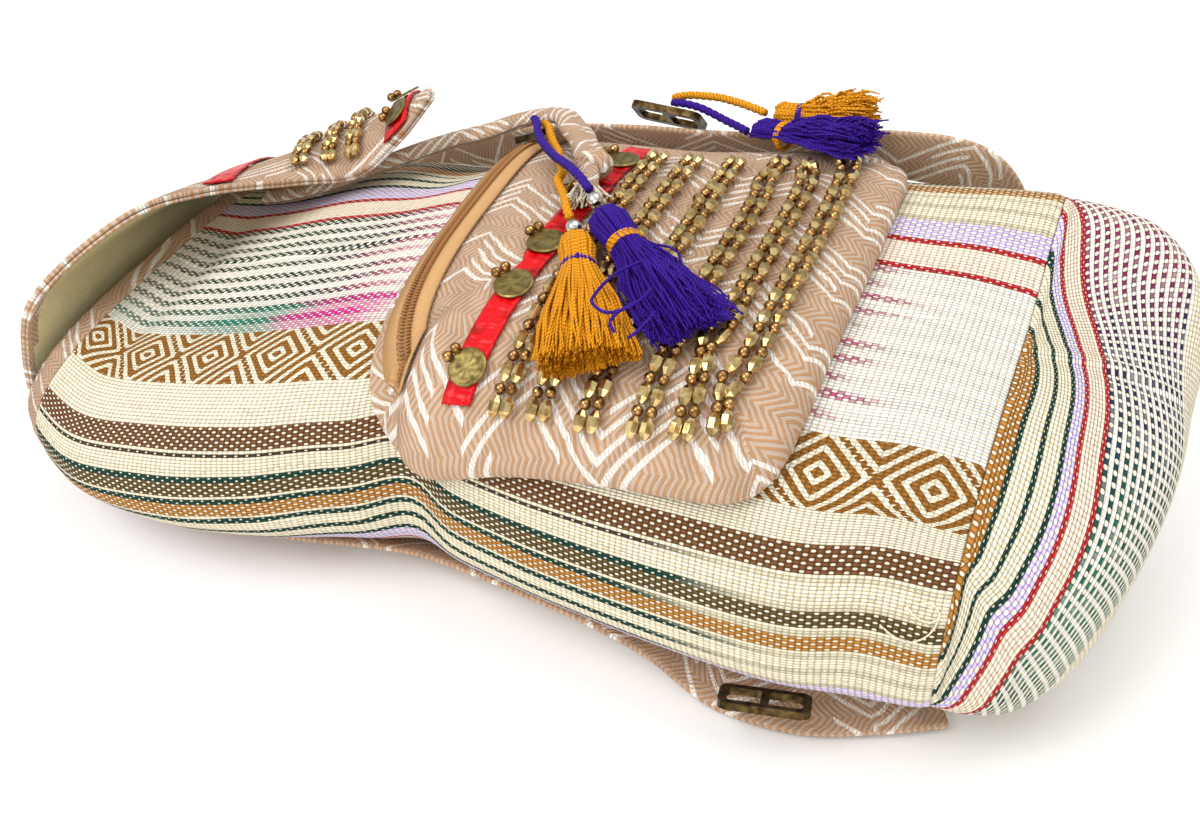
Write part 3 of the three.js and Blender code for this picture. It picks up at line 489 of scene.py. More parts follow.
def twisted_thread(node, code, dark):
    """Lustrous twisted thread: a slanted zigzag of plies across the length, with painted shade in the grooves
    between them.
    """
    plies_along, plies_round = 0.55, 0.32
    u, v, _ = node("SeparateXYZ", node("UVMap", uv_map="cloth"))
    slant = node("Math.MULTIPLY_ADD", u, plies_along, node("Math.MULTIPLY", v, plies_round))
    ply = node("Math.MULTIPLY", node("Math.PINGPONG", slant, 0.5), 2.0)
    # Painted shade: the dark colour lies in the grooves between the plies
    return {"Base_Color": node("Mix.RGBA", ply, linear(dark), linear(code)), "Roughness": 0.6,
            "Specular_IOR_Level": 0.15, "Normal": node("Bump", Height=ply, Distance=0.25 * MM)}


def striped_weave(node, weft):
    """Plain weave on a UV of one cell a thread crossing.

    In every other cell the pale weft shows as a lens, as large as the face's weft share; elsewhere the
    face's own warp colour shows, and both stand up as a bump. Painted shade darkens the colour by the
    height, most in the grooves beside the warps, and a slub noise varies its tone at random. The diamonds'
    brown floats lie where the distance that the points carry is in one of their bands.
    """
    lens_halves, lens_edge, pillow_rises, sunk = (0.52, 0.5), (0.8, 1.1), (0.65, 0.6), 0.4
    painted_groove_shade, slub_size, slub_tone = (0.5, 0.6), 0.35, (0.16, 0.92)
    uv = node("UVMap", uv_map="cloth")
    u, v, _ = node("SeparateXYZ", uv)
    fu, fv = (node("Math.SUBTRACT", node("Math.FRACT", socket), 0.5) for socket in (u, v))
    odd = node("Math.FLOORED_MODULO", node("Math.ADD", node("Math.FLOOR", u), node("Math.FLOOR", v)), 2.0)
    reveal, lozenge, figured = (
        node("Attribute", attribute_name=name)["Fac"] for name in ("reveal", "lozenge", "figured"))
    warp = node("Attribute", attribute_name="warp")["Color"]
    brown = 0.0
    for low, high in DIAMOND_BANDS:
        brown = node("Math.ADD", brown, node("Math.COMPARE", lozenge, (low + high) / 2, (high - low) / 2))
    brown = node("Math.MULTIPLY", brown, figured)
    warp = node("Mix.RGBA", brown, warp, linear(DIAMOND_COLOR))
    reveal = node("Math.MULTIPLY", reveal, node("Math.MULTIPLY_ADD", brown, BROWN_REVEAL - 1, 1.0))
    radii = [node("Math.POWER", node("Math.DIVIDE", socket, half), 2.0)
             for socket, half in zip((fu, fv), lens_halves)]
    lens = node("Math.DIVIDE", node("Math.SQRT", node("Math.ADD", *radii)), reveal)
    inside = node("MapRange", lens, *lens_edge, 1.0, 0.0, interpolation_type="SMOOTHSTEP")
    mask = node("Math.MULTIPLY", inside, odd)
    pillows = []
    for socket, rise in zip((fv, fu), pillow_rises):
        pillow = node("Math.POWER", node("Math.MULTIPLY", socket, 2.0), 4.0)
        pillows.append(node("Math.MULTIPLY_ADD", node("Math.SUBTRACT", 1.0, pillow), rise, 1 - rise))
    low = node("Math.MULTIPLY", node("Math.MULTIPLY", *pillows), node("Math.MULTIPLY_ADD", odd, -sunk, 1.0))
    bead = node("Math.SUBTRACT", 1.0, node("Math.MULTIPLY", lens, 0.5))
    height = node("Math.ADD", node("Math.MULTIPLY", bead, mask),
                  node("Math.MULTIPLY", low, node("Math.SUBTRACT", 1.0, mask)))
    slub = node("TexNoise", Vector=uv, Scale=slub_size, Detail=3.0)["Fac"]
    # Painted shade by the height of the weave, darkest in the grooves, times the slub's random tone
    painted_shade = node("Math.MULTIPLY", node("Math.MULTIPLY_ADD", height, *painted_groove_shade),
                 node("Math.MULTIPLY_ADD", slub, *slub_tone))
    color = node("Mix.RGBA", mask, warp, linear(weft))
    color = node("Mix.RGBA", 1.0, color, node("CombineColor", painted_shade, painted_shade, painted_shade), blend_type="MULTIPLY")
    return {"Base_Color": color, "Roughness": MATT, "Specular_IOR_Level": CLOTH_SHINE,
            "Normal": node("Bump", Height=height, Distance=MM)}


def plain_cloth(node, code, dark, pitch, stitches=()):
    """Close plain weave: sines of a thread pitch along and across a UV in mm, with painted shade in their
    low places mixed with a cloud of random tone, and dashed rows of stitches.
    """
    stitch, stitch_pitch, stitch_half = 1.4, 2.4, 0.28
    uv = node("UVMap", uv_map="cloth")
    u, v, _ = node("SeparateXYZ", uv)
    waves = [node("Math.SINE", node("Math.MULTIPLY", socket, 2 * np.pi / pitch)) for socket in (u, v)]
    height = node("Math.MULTIPLY_ADD", node("Math.MULTIPLY", *waves), 0.5, 0.5)
    cloud = node("TexNoise", Vector=uv, Scale=0.06, Detail=4.0)["Fac"]
    # Painted shade in the low places of the weave, mixed half and half with a cloud of random tone
    share = node("Math.MULTIPLY_ADD", height, 0.5, node("Math.MULTIPLY", cloud, 0.5))
    color = node("Mix.RGBA", share, linear(dark), linear(code))
    dash = node("Math.LESS_THAN", node("Math.FLOORED_MODULO", u, stitch_pitch), stitch)
    for row in stitches:
        on = node("Math.MULTIPLY", node("Math.COMPARE", v, row, stitch_half), dash)
        color = node("Mix.RGBA", on, color, linear("#6e4a2a"))
    return {"Base_Color": color, "Roughness": MATT, "Specular_IOR_Level": CLOTH_SHINE,
            "Normal": node("Bump", Height=height, Distance=0.3 * MM)}


def furnishing_jacquard(node, beige, tan, white):
    """A herringbone of tan on beige, and nested zigzags of white cords in groups of five, on a UV in mm.

    The cords break where a white noise of their number and place is low. Painted shade lightens the raised
    cords and darkens the low ground, by the height.
    """
    leg, slope, pitch, repeat, group, kept_over = 27.0, 0.75, 5.2, 41.6, 26.0, 0.28
    twill_leg, twill_slope, twill_half, grain_pitch = 6.5, 0.9, 1.3, 0.9
    uv = node("UVMap", uv_map="cloth")
    u, v, _ = node("SeparateXYZ", uv)
    cloud = node("Math.SUBTRACT", node("TexNoise", Vector=uv, Scale=0.12, Detail=3.0)["Fac"], 0.5)
    u = node("Math.MULTIPLY_ADD", cloud, 3.0, u)
    v = node("Math.MULTIPLY_ADD", cloud, 2.0, v)
    nested = node("Math.MULTIPLY_ADD", node("Math.PINGPONG", u, leg), slope, v)
    number = node("Math.FLOOR", node("Math.DIVIDE", nested, pitch))
    spot = node("CombineXYZ", number, node("Math.FLOOR", node("Math.DIVIDE", u, leg / 2)))
    kept = node("Math.GREATER_THAN", node("TexWhiteNoise", spot)["Value"], kept_over)
    cord = node("MapRange", node("Math.PINGPONG", nested, pitch / 2), 1.35, 1.85)
    grouped = node("Math.LESS_THAN", node("Math.FLOORED_MODULO", nested, repeat), group)
    cord = node("Math.MULTIPLY", node("Math.MULTIPLY", cord, grouped), kept)
    strand = node("Math.PINGPONG", node("Math.MULTIPLY_ADD", v, 0.5, u), 0.75)
    strand = node("Math.MULTIPLY", strand, 1.33)
    cord = node("Math.MULTIPLY", cord, node("Math.MULTIPLY_ADD", strand, 0.5, 0.5))
    twill = node("Math.MULTIPLY_ADD", node("Math.PINGPONG", v, twill_leg), twill_slope, u)
    twill = node("MapRange", node("Math.PINGPONG", twill, twill_half), 0.5, 0.85)
    color = node("Mix.RGBA", twill, linear(beige), linear(tan))
    color = node("Mix.RGBA", cord, color, linear(white))
    waves = [node("Math.SINE", node("Math.MULTIPLY", socket, 2 * np.pi / grain_pitch)) for socket in (u, v)]
    grain = node("Math.MULTIPLY_ADD", node("Math.MULTIPLY", *waves), 0.2, 0.3)
    raised = node("Math.MULTIPLY", cord, node("Math.MULTIPLY_ADD", strand, 0.4, 0.25))
    height = node("Math.ADD", raised, node("Math.MULTIPLY_ADD", twill, 0.3, grain))
    # Painted shade: lighter where the relief is high, darker where it is low
    painted_shade = node("Math.MULTIPLY_ADD", height, 0.35, 0.76)
    color = node("Mix.RGBA", 1.0, color, node("CombineColor", painted_shade, painted_shade, painted_shade), blend_type="MULTIPLY")
    return {"Base_Color": color, "Roughness": MATT, "Specular_IOR_Level": CLOTH_SHINE,
            "Normal": node("Bump", Height=height, Distance=0.9 * MM)}


def creased_satin(node, code, dark):
    """A close glossy face with soft creases across the ribbon, from a noise drawn out across it; painted
    shade darkens the low places of the creases.
    """
    u, v, _ = node("SeparateXYZ", node("UVMap", uv_map="cloth"))
    drawn = node("CombineXYZ", u, node("Math.MULTIPLY", v, 0.3))
    cloud = node("TexNoise", Vector=drawn, Scale=0.16, Detail=2.0)["Fac"]
    # Painted shade: the dark red lies where the creases are low
    color = node("Mix.RGBA", node("MapRange", cloud, 0.32, 0.5), linear(dark), linear(code))
    return {"Base_Color": color, "Roughness": 0.3, "Specular_IOR_Level": 0.22, "Anisotropic": 0.4,
            "Normal": node("Bump", Height=cloud, Distance=3.5 * MM)}


def clouded_metal(node, code, dark, rough):
    """Metal with darker and rougher tarnish in clouds of a few millimetres."""
    cloud = node("TexNoise", Vector=node("TexCoord")["Object"], Scale=350.0, Detail=4.0)["Fac"]
    clean = node("MapRange", cloud, 0.35, 0.65)
    return {"Base_Color": node("Mix.RGBA", clean, linear(dark), linear(code)), "Metallic": 1.0,
            "Roughness": node("Math.MULTIPLY_ADD", clean, -TARNISH_ROUGH, rough + TARNISH_ROUGH)}


MM = 0.001
MATT, CLOTH_SHINE, TARNISH_ROUGH = 0.9, 0.2, 0.15
# Finishes by their material: its maker, and then the maker's colours and sizes
FINISHES = {
    # Pale matt studio floor
    "pale_floor": (matt_paint, "#f1f0ee"),
    # Hand-woven cotton: matt and slubby, with a pale weft dotted through its coloured warps
    "handwoven_cotton": (striped_weave, "#efe6d0"),
    # Its reverse and the plain cottons: matt, with a close grain; the darker colour is painted shade in
    # the grain's low places, mixed with a cloud of random tone
    "cotton_inside": (plain_cloth, "#cdbf9c", "#8f8262", 1.6),
    "khaki_cotton": (plain_cloth, "#e9ddb0", "#c8ba86", 1.1),
    "zip_tape_twill": (plain_cloth, "#d2a674", "#b98c5c", 0.9, (20.3, 35.5)),
    "zip_coil": (plain_cloth, "#b07e4e", "#7d5630", 0.9),
    # Furnishing jacquard: matt, with thick white cords that stand up from a tan ground
    "cotton_jacquard": (furnishing_jacquard, "#cfb7a3", "#bb8f68", "#f6f1e8"),
    # Polyester satin: a bright red gloss that breaks at the creases; its dark red is painted shade in
    # the creases
    "satin_ribbon": (creased_satin, "#c8060e", "#6a0207"),
    # Viscose embroidery thread: deep colours with a silky twist; the cotton thread is paler and plain.
    # The second colour of each thread is painted shade in the grooves between its plies
    "purple_viscose": (twisted_thread, "#3d1296", "#1d0858"),
    "mustard_viscose": (twisted_thread, "#eaa21a", "#aa660a"),
    "cream_thread": (twisted_thread, "#f2ead8", "#cdbfa2"),
    # Cast and plated beads: sharp bright highlights on the facets, darker on the round ones
    "faceted_gold": (clouded_metal, "#ead196", "#a17f47", 0.14),
    "bronze_bead": (clouded_metal, "#b48c58", "#6a4b29", 0.2),
    "silvered_metal": (clouded_metal, "#e4e1da", "#a8a49a", 0.16),
    # Struck and cast brass gone dull: broad soft highlights
    "tarnished_brass": (clouded_metal, "#94834f", "#5f5330", 0.42),
    "darkened_brass": (clouded_metal, "#544328", "#2a1f11", 0.3),
}
MADE = {}  # materials made so far, by name


def material(name):
    """The material of a finish, made once: its maker adds the pattern and gives the inputs of the surface."""
    if name not in MADE:
        made = bpy.data.materials.new(name)
        made.use_nodes = True
        made.node_tree.nodes.clear()
        node = partial(add_node, made.node_tree)
        make, *values = FINISHES[name]
        node("OutputMaterial", node("BsdfPrincipled", **make(node, *values)))
        MADE[name] = made
    return MADE[name]


# Repeat of the striped cloth: where each stripe ends, in mm, its kind and its colour
STRIPES = (
    (11, "plain", "#c0aee6"), (14, "line", "#b5282a"), (27, "plain", "#edd3bc"),
    (30, "line", "#b5282a"), (120, "ikat", "#f4efe6"), (150, "diamond", "#ede3c8"),
    (167, "plain", "#e2d6b8"), (177.5, "dotted", "#6c4629"), (179, "plain", "#e0d4b4"),
    (180.5, "line", "#3c2f22"), (189, "plain", "#e0d4b4"), (191.5, "line", "#123a2f"),
    (199.5, "dotted", "#5c4a28"), (200.5, "plain", "#e0d4b4"), (203, "line", "#123a2f"),
    (211, "dotted", "#a9722f"), (212.5, "plain", "#e0d4b4"), (215, "line", "#123a2f"),
    (221, "plain", "#e0d4b4"), (223.5, "line", "#123a2f"), (229.5, "plain", "#e0d4b4"),
    (232, "line", "#123a2f"))
STRIPE_REPEAT, STRIPE_START = 232.0, 241.0
# Size of the weft's lens, by kind of stripe; the most for inked rows, and the share left in brown diamonds
REVEAL = {"plain": 1.05, "line": 0.52, "dotted": 0.7, "ikat": 1.0, "diamond": 0.6}
INKED_REVEAL, BROWN_REVEAL = 0.95, 0.14
# Tie-dyed band along the bag: place, colour, strength
IKAT_BODY = ((-193, "#46584f", 0.85), (-150, "#123a2f", 1.0), (-86, "#1c3a35", 1.0), (-70, "#3f2048", 1.0),
             (-56, "#96245e", 0.95), (-42, "#c22a78", 0.75), (-28, "#d98fae", 0.35), (-8, "#c9b8b8", 0.15),
             (116, "#c9b8b8", 0.15), (128, "#b82a70", 0.95), (142, "#a02a62", 0.8), (152, "#a58a9c", 0.15),
             (196, "#85858c", 0.14))
# Bolder bleeding colours of its last rows, beside the diamonds
IKAT_BOLD = ((-150, "#4f8f80", 0.3), (-118, "#1a7a66", 0.9), (-94, "#1a7a66", 0.85), (-82, "#c42a86", 0.85),
             (-48, "#d0288a", 0.95), (-34, "#e08ab8", 0.3), (-22, "#f4efe6", 0.0))
IKAT_BASE = ((-150, "#2b3f3a", 0.95), (-95, "#1e6b52", 1.0), (-55, "#17463a", 1.0), (-15, "#1d2744", 1.0),
             (30, "#2e1c48", 1.0), (65, "#7a1f4a", 1.0), (130, "#8c2a50", 1.0))
IKAT_FILL, IKAT_ROWS, IKAT_ROWS_BASE = 0.5, 10, 12
# Where the thin lines fade along the bag, and by how much
LINE_FADE = ((98, 128), (0, 0.8))
DIAMOND_REPEAT, DIAMOND_START, DIAMOND_COLOR = 37.0, 35.0, "#8f5f24"
DIAMOND_BANDS = ((0, 2.6), (5.0, 8.4), (10.9, 14.3), (16.8, 18.6))
# Parts of the repeat: the tie-dyed band, the diamonds, the start of the thin lines and their ground
IKAT_STRIPE, DIAMOND_STRIPE, THIN_LINES, GROUND = (30, 120), (120, 150), 179, "#e0d4b4"
# Unevenness: sway of the ikat's rows, jitter of its warps, of its strength and of every colour
IKAT_SWAY, IKAT_JITTER, DYE_JITTER, COLOR_JITTER = 9, 5, 0.1, 0.05
# Bold rows of the ikat: how many, how they fade, their strength between inked rows, the weft that they hide
BOLD_ROWS, BOLD_FADE, BOLD_BETWEEN, BOLD_HIDES = 2.4, 0.8, 0.8, 0.35
BODY_SEED, BASE_SEED = 4, 9
# Drift of the stripes: the place along the bag where there is none, and round it how it rises and ends
DRIFT_NONE, DRIFT_RISE, DRIFT_END, DRIFT_FADE = -20, 60, 408, 23


def dyed(table, at):
    """Colour and strength along a tie-dyed band, between the rows of its table."""
    knots, codes, powers = zip(*table)
    hues = np.array([linear(code)[:3] for code in codes])
    return np.stack([np.interp(at, knots, hues[:, k]) for k in range(3)], -1), np.interp(at, knots, powers)


def laid_over(color, dye, share):
    """Colours mixed with a dye by the share of each cell."""
    return color * (1 - share[..., None]) + dye * share[..., None]


def stripe_cells(place, along, tie_dye, rows, seed):
    """Colour and weft share of each cell of the cloth, by its place in the repeat and along the bag.

    Ikat rows take a colour interpolated along the bag, jittered warp by warp. The last result marks the
    cells of the diamond stripe.
    """
    rng = np.random.default_rng(seed)
    shape = (len(along), len(place))
    ends, names, codes = zip(*STRIPES)
    which = np.minimum(np.searchsorted(ends, place, side="right"), len(ends) - 1)
    kinds = np.array(names)[which]
    color = np.broadcast_to(np.array([linear(code)[:3] for code in codes])[which][None], (*shape, 3))
    reveal = np.broadcast_to(np.array([REVEAL[name] for name in names])[which][None], shape).copy()
    band = (place - IKAT_STRIPE[0]) / (IKAT_STRIPE[1] - IKAT_STRIPE[0]) * rows
    row = np.floor(band)
    inked = (kinds == "ikat") & (band - row < IKAT_FILL)
    at = along[:, None] + (IKAT_SWAY * np.sin(row * 2.1) + rng.normal(0, IKAT_JITTER, len(place)))[None]
    dye, power = dyed(tie_dye, at)
    power = power * np.clip(1 + rng.normal(0, DYE_JITTER, shape), 0.5, 1.05)
    color = laid_over(color, dye, np.where(inked[None], np.clip(power, 0, 1), 0))
    if tie_dye is IKAT_BODY:
        dye, power = dyed(IKAT_BOLD, at)
        near = np.where(kinds == "ikat", np.clip((band - rows + BOLD_ROWS) / BOLD_FADE, 0, 1), 0)
        share = near[None] * power * np.where(inked, 1.0, BOLD_BETWEEN)[None]
        color = laid_over(color, dye, share)
        reveal = reveal - BOLD_HIDES * share
        thin = (kinds == "line") & (place >= THIN_LINES)
        share = np.where(thin[None], np.interp(at, *LINE_FADE), 0)
        color = laid_over(color, np.array(linear(GROUND)[:3]), share)
    reveal[:, inked] = np.minimum(reveal[:, inked], INKED_REVEAL)
    uneven = 1 + rng.normal(0, COLOR_JITTER, len(place))[None] + rng.normal(0, COLOR_JITTER, shape)
    color = color * np.clip(uneven, 0.8, 1.12)[..., None]
    rgba = np.concatenate([np.clip(color, 0, 1), np.ones((*shape, 1))], -1)
    figured = np.broadcast_to(kinds == "diamond", shape)
    return rgba.reshape(-1, 4), reveal.ravel(), figured.ravel()


def lozenges(place, along):
    """Sum of the two distances from the nearest diamond's middle, folded back at half the repeat."""
    p = np.abs((along - DIAMOND_START + DIAMOND_REPEAT / 2) % DIAMOND_REPEAT - DIAMOND_REPEAT / 2)
    q = np.abs(place - sum(DIAMOND_STRIPE) / 2)
    t = p[:, None] + q[None]
    return np.minimum(t, DIAMOND_REPEAT - t)


def body_grid(rows, cols, skew):
    """Rows along the body and turns of equal cloth round it, by the inverse of the section's length."""
    x = np.linspace(MOUTH_X, SEAM_X + GAP, rows)
    v = np.linspace(0, CLOTH_ROUND, cols)
    fine = np.linspace(-np.pi / 2, 1.5 * np.pi, 721)
    turns = np.empty((rows, cols))
    for i, place in enumerate(x):
        length = arc(body_point(np.full_like(fine, place), fine))
        front = np.clip((DRIFT_END - v) / DRIFT_FADE, 0, 1) * np.clip(v / DRIFT_RISE, 0, 1)
        drift = skew * (place - DRIFT_NONE) * front
        turns[i] = np.interp(CLOTH_ROUND - v - drift, CLOTH_ROUND * length / length[-1], fine)
    return x, v, turns


# Warps of the base from the near top outwards: distance from the pole, count, span of the cloth's repeat
BASE_COLUMNS = (
    (118,), (97, 14, (203, 211)), (95.6, 2, (212.5, 215)), (90.6, 4, (215, 221)),
    (89.3, 2, (221, 223.5)), (85, 4, (223.5, 229.5)), (83.8, 2, (229.5, 232)), (81, 3, (0, 11)),
    (79.7, 2, (11, 14)), (75, 5, (14, 27)), (73.7, 2, (27, 30)), (40, 24, (30, 120)),
    (12, 19, (150, 167)), (-17.5, 20, (120, 150)), (-29, 8, (180.5, 189)), (-31, 2, (189, 191.5)),
    (-39.5, 6, (191.5, 199.5)), (-42, 2, (200.5, 203)), (-50, 6, (203, 211)),
    (-52.5, 2, (212.5, 215)), (-61, 6, (215, 221)), (-63, 2, (221, 223.5)),
    (-70, 5, (223.5, 229.5)), (-72.5, 2, (229.5, 232)), (-83, 7, (0, 11)), (-86, 2, (11, 14)),
    (-99, 9, (14, 27)), (-102, 2, (27, 30)), (-150, 33, (30, 120)))
BASE_STRIPE_TURN, BASE_IKAT_START = np.radians(29), 73.7
BASE_DIAMONDS = (-17.5, 12)  # where its diamond stripe ends and starts
# Bow of the base's stripes: place along them, drop where the ikat starts, further drop for a mm outside it
BASE_BOW = np.array([
    (-170, 108, -1.8), (-142, 56, -1.5), (-117, 20.5, -1.0), (-103, 11, -0.6), (-90, 4.5, -0.3),
    (-70, 1.2, -0.1), (-45, 2.3, 0), (-15, 8.8, -0.1), (30, 16, -0.25), (62, 23.6, -0.2),
    (101, 39.3, 0), (145, 62, 0)])
# Reach of the bow's further drop, ends of the stripes, half width that the groove is measured on
BASE_BOW_REACH, BASE_ENDS, BASE_HALF = 12, (-165, 140), 60
# Plain insides: rows and columns of each, and how the base's shrinks along each axis for a mm of cloth
BODY_INSIDE, BASE_INSIDE = (30, 61), (12, 61)
BASE_INSIDE_SHRINK = np.array([1 / 61, 1 / 60, 1 / 46])
# Loose ends of thread beside the base seam: places along the body and turns round it
LOOSE_THREADS = (((176, 0.22), (181, 0.18), (186, 0.17), (190.5, 0.21), (193, 0.27), (194, 0.36)),
                 ((183, 0.36), (187, 0.31), (191.5, 0.3), (194, 0.35), (191, 0.4), (186, 0.38)))


def woven_piece(name, node, outer, faces, inner, inner_uv, cells, distance):
    """Striped cloth over a coarser plain inside; the UV of the cloth numbers its crossings."""
    warp, reveal, figured = cells
    under = grid_faces(*inner.shape[:2], outer.size // 3)
    count = len(under)
    shape = (np.vstack([outer.reshape(-1, 3), inner.reshape(-1, 3)]), np.vstack([faces, under]),
             np.vstack([grid_numbers(*outer.shape[:2]), inner_uv.reshape(-1, 2)]))
    return add_piece(
        name, "striped_cotton", node, shape, ["handwoven_cotton", "cotton_inside"],
        np.repeat([0, 1], [len(faces), count]), lozenge=np.append(distance, np.zeros(inner.size // 3)),
        warp=np.vstack([warp, np.ones((count, 4))]), reveal=np.append(reveal, np.ones(count)),
        figured=np.append(figured, np.zeros(count)))


# Trim on the flap and the pocket


def on_flap(at):
    """Place on the flap, at a share of its length, for a station across it and an offset along it."""
    return lambda across, offset: (at + offset / FLAP_LENGTH, across)


def on_pocket(x, slant=0.0):
    """Place on the pocket, at a distance along it that may slant, for a station across and an offset."""
    return lambda y, offset: ((x + slant * y + offset) / POCKET_LONG, y / POCKET_WIDE)


FLAP_TRIM_SEAT = FLAP_CLOTH + FLAP_SEAT
FLAP_RIBBON_REACH, FLAP_ROW_REACH = 0.97, 0.84  # shares of the flap's half width
LONG_BEAD = ((-4.0, 0.4), (-3.9, 1.0), (-1.7, 2.35), (1.7, 2.35), (3.9, 1.0), (4.0, 0.4))
ROUND_BEAD = tuple((-2.1 * np.cos(t), 2.1 * np.sin(t)) for t in np.linspace(0.25, np.pi - 0.25, 7))
SILVER_BEAD = tuple((-3.2 * np.cos(t), 3.2 * np.sin(t)) for t in np.linspace(0.2, np.pi - 0.2, 15))
# A long and a round bead together, half a long one, looseness
BEAD_PAIR, BEAD_HALF, BEAD_SLACK = 12.3, 4.0, 0.15
# Zip: its middle as a share of the slope, reach of tape and coil, the tape's half width, thickness and edge
ZIP_PLACE, TAPE_REACH, COIL_REACH, ZIP_HALF, ZIP_TAPE, ZIP_EDGE = 0.45, 0.86, 0.855, 9, 1.2, 0.3
# Its coil: pitch, rise, offset from the middle, half width, and a tooth's half length and lean as shares
COIL_PITCH, COIL_RISE, COIL_OFF, COIL_HALF, COIL_LONG, COIL_LEAN = 1.35, 0.8, 1.5, 1.35, 0.62, 0.3
# Coin: radii of the rings that its relief is drawn on
COIN_RINGS = np.array([0, 0.9, 1.8, 2.4, 2.9, 3.5, 4.2, 4.9, 5.4, 6.0, 6.4, 6.8, 7.1, 7.3, COIN_RADIUS])
COIN_RELIEF, COIN_EDGE, COIN_EDGE_SHARE = 0.25, 7.2, 0.6
# Relief of the rim, petals and dots: radius, half width, share of the height, waves round the coin
COIN_BELLS = ((6.8, 0.45, 0.7, 0), (3.2, 1.5, 0.45, 8), (5.4, 0.4, 0.5, 24))
POCKET_COIN_HANG, FLAP_COIN_HANG = (-0.85, 0.52, 0), (-0.8, 0.2, -0.56)
THREAD_RADIUS, LOOSE_LIFT = 0.35, 0.8
# Knot of the drawstring: middle and half widths; its tail: middle, ends, turn; the fray: start, strands, ways
KNOT, KNOT_HALVES = np.array([21.5, 28, 146.8]), (8.2, 7, 6)
TAIL, TAIL_ENDS, TAIL_TURN = np.array([25, 15, 148]), (9, -8), 0.35
FRAY, FRAY_STRANDS = np.array([27.7, 7.6, 148]), 46
FRAY_AHEAD, FRAY_LEFT = np.array([0.34, -0.94, 0.0]), np.array([0.94, 0.34, 0.0])
# Tassels: piece, head, cut end, half widths of head and end, flatness, raggedness, waves
TASSELS = (
    ("zip_tassel_purple", (40.5, -8, 151), (99, -59.6, 144), 8.4, 16, 0.6, 0.1, 2.3),
    ("zip_tassel_mustard", (36.5, -22, 149), (68, -83, 143.5), 7.4, 20, 0.45, 0.03, 0.5),
    ("strap_tassel_purple", (67, 91.5, 134.5), (122, 73.5, 149), 7.4, 13.5, 0.6, 0.16, 3.4),
    ("strap_tassel_mustard", (72, 104, 136), (116, 105, 143), 7.4, 14, 0.7, 0.18, 3.2),
)
OTHER_THREAD = {"purple": "mustard", "mustard": "purple"}  # the one that ties a tassel
TASSEL_STRANDS, TASSEL_STEPS, STRAND_SIDES, STRAND_RADIUS, STRAND_TIP = 420, 12, 4, 0.62, 0.35
TIE_TURNS, TIE_PLACE, TIE_STEPS, TIE_RADIUS = 2.5, (0.255, 0.295), 90, 0.7
# Strands that stray from a tassel in loops
STRAYS = {"zip_tassel_purple": (
    ((69.3, -39.2, 156), (64.7, -47.8, 156.5), (62.7, -60.1, 157), (63.5, -66.9, 157), (69.2, -69.9, 156.5),
     (74.3, -66.9, 156.5), (78.1, -60.5, 157), (78.9, -51.7, 156)),
    ((78.1, -60.5, 157), (73.5, -68.3, 156.5), (72.9, -73.6, 156), (75.6, -76.8, 155)),
    ((84.7, -63.6, 156), (83.7, -69, 155.5), (82.4, -74.4, 155), (80.6, -77, 154)))}
TASSEL_BEADS = ((37, -5, 153.5), (34, -18, 148.8))


def rest_height(x, y):
    """Height of whatever lies highest on the front at a place: the body, or the pocket with its bead rows."""
    half, shift = column(BODY_SECTIONS, 1, x), column(BODY_SECTIONS, 2, x)
    a, b = (x - POCKET_X) / POCKET_LONG, (y - POCKET_Y) / POCKET_WIDE
    on_top = (np.abs(a) < 1) & (np.abs(b) < 1)
    lift = POCKET_SEAT + CLOTH + pocket_lift(np.clip(a, -1, 1), np.clip(b, -1, 1))
    lift = lift + TRIM_SEAT + 2 * STRING_RADIUS
    front = front_point(x, y)
    slope = np.maximum(lifted(front_point, x, y, 1.0)[..., 2] - front[..., 2], 0.2)
    height = front[..., 2] + (np.where(on_top, lift, 0) + TRIM_SEAT) / slope
    return np.where(np.abs(y - shift) > 0.92 * half, 0, height)


# Stage: half width and drop of the floor; height, spread and dimming of the studio's ring, and its power
FLOOR_HALF, FLOOR_DROP = 3.0, -0.0004
RING_HEIGHT, RING_SPREAD, RING_DIM, STUDIO_POWER = 0.36, 0.16, 0.5, 0.9
# Soft boxes: name, place, width, power; all aim at the origin
SOFT_BOXES = (("key_light", (-0.55, -0.75, 1.35), 0.9, 14), ("top_light", (0.35, 0.5, 1.5), 1.2, 12),
              ("fill_light", (0.5, -1.15, 0.4), 1.0, 6.5))


# Operators


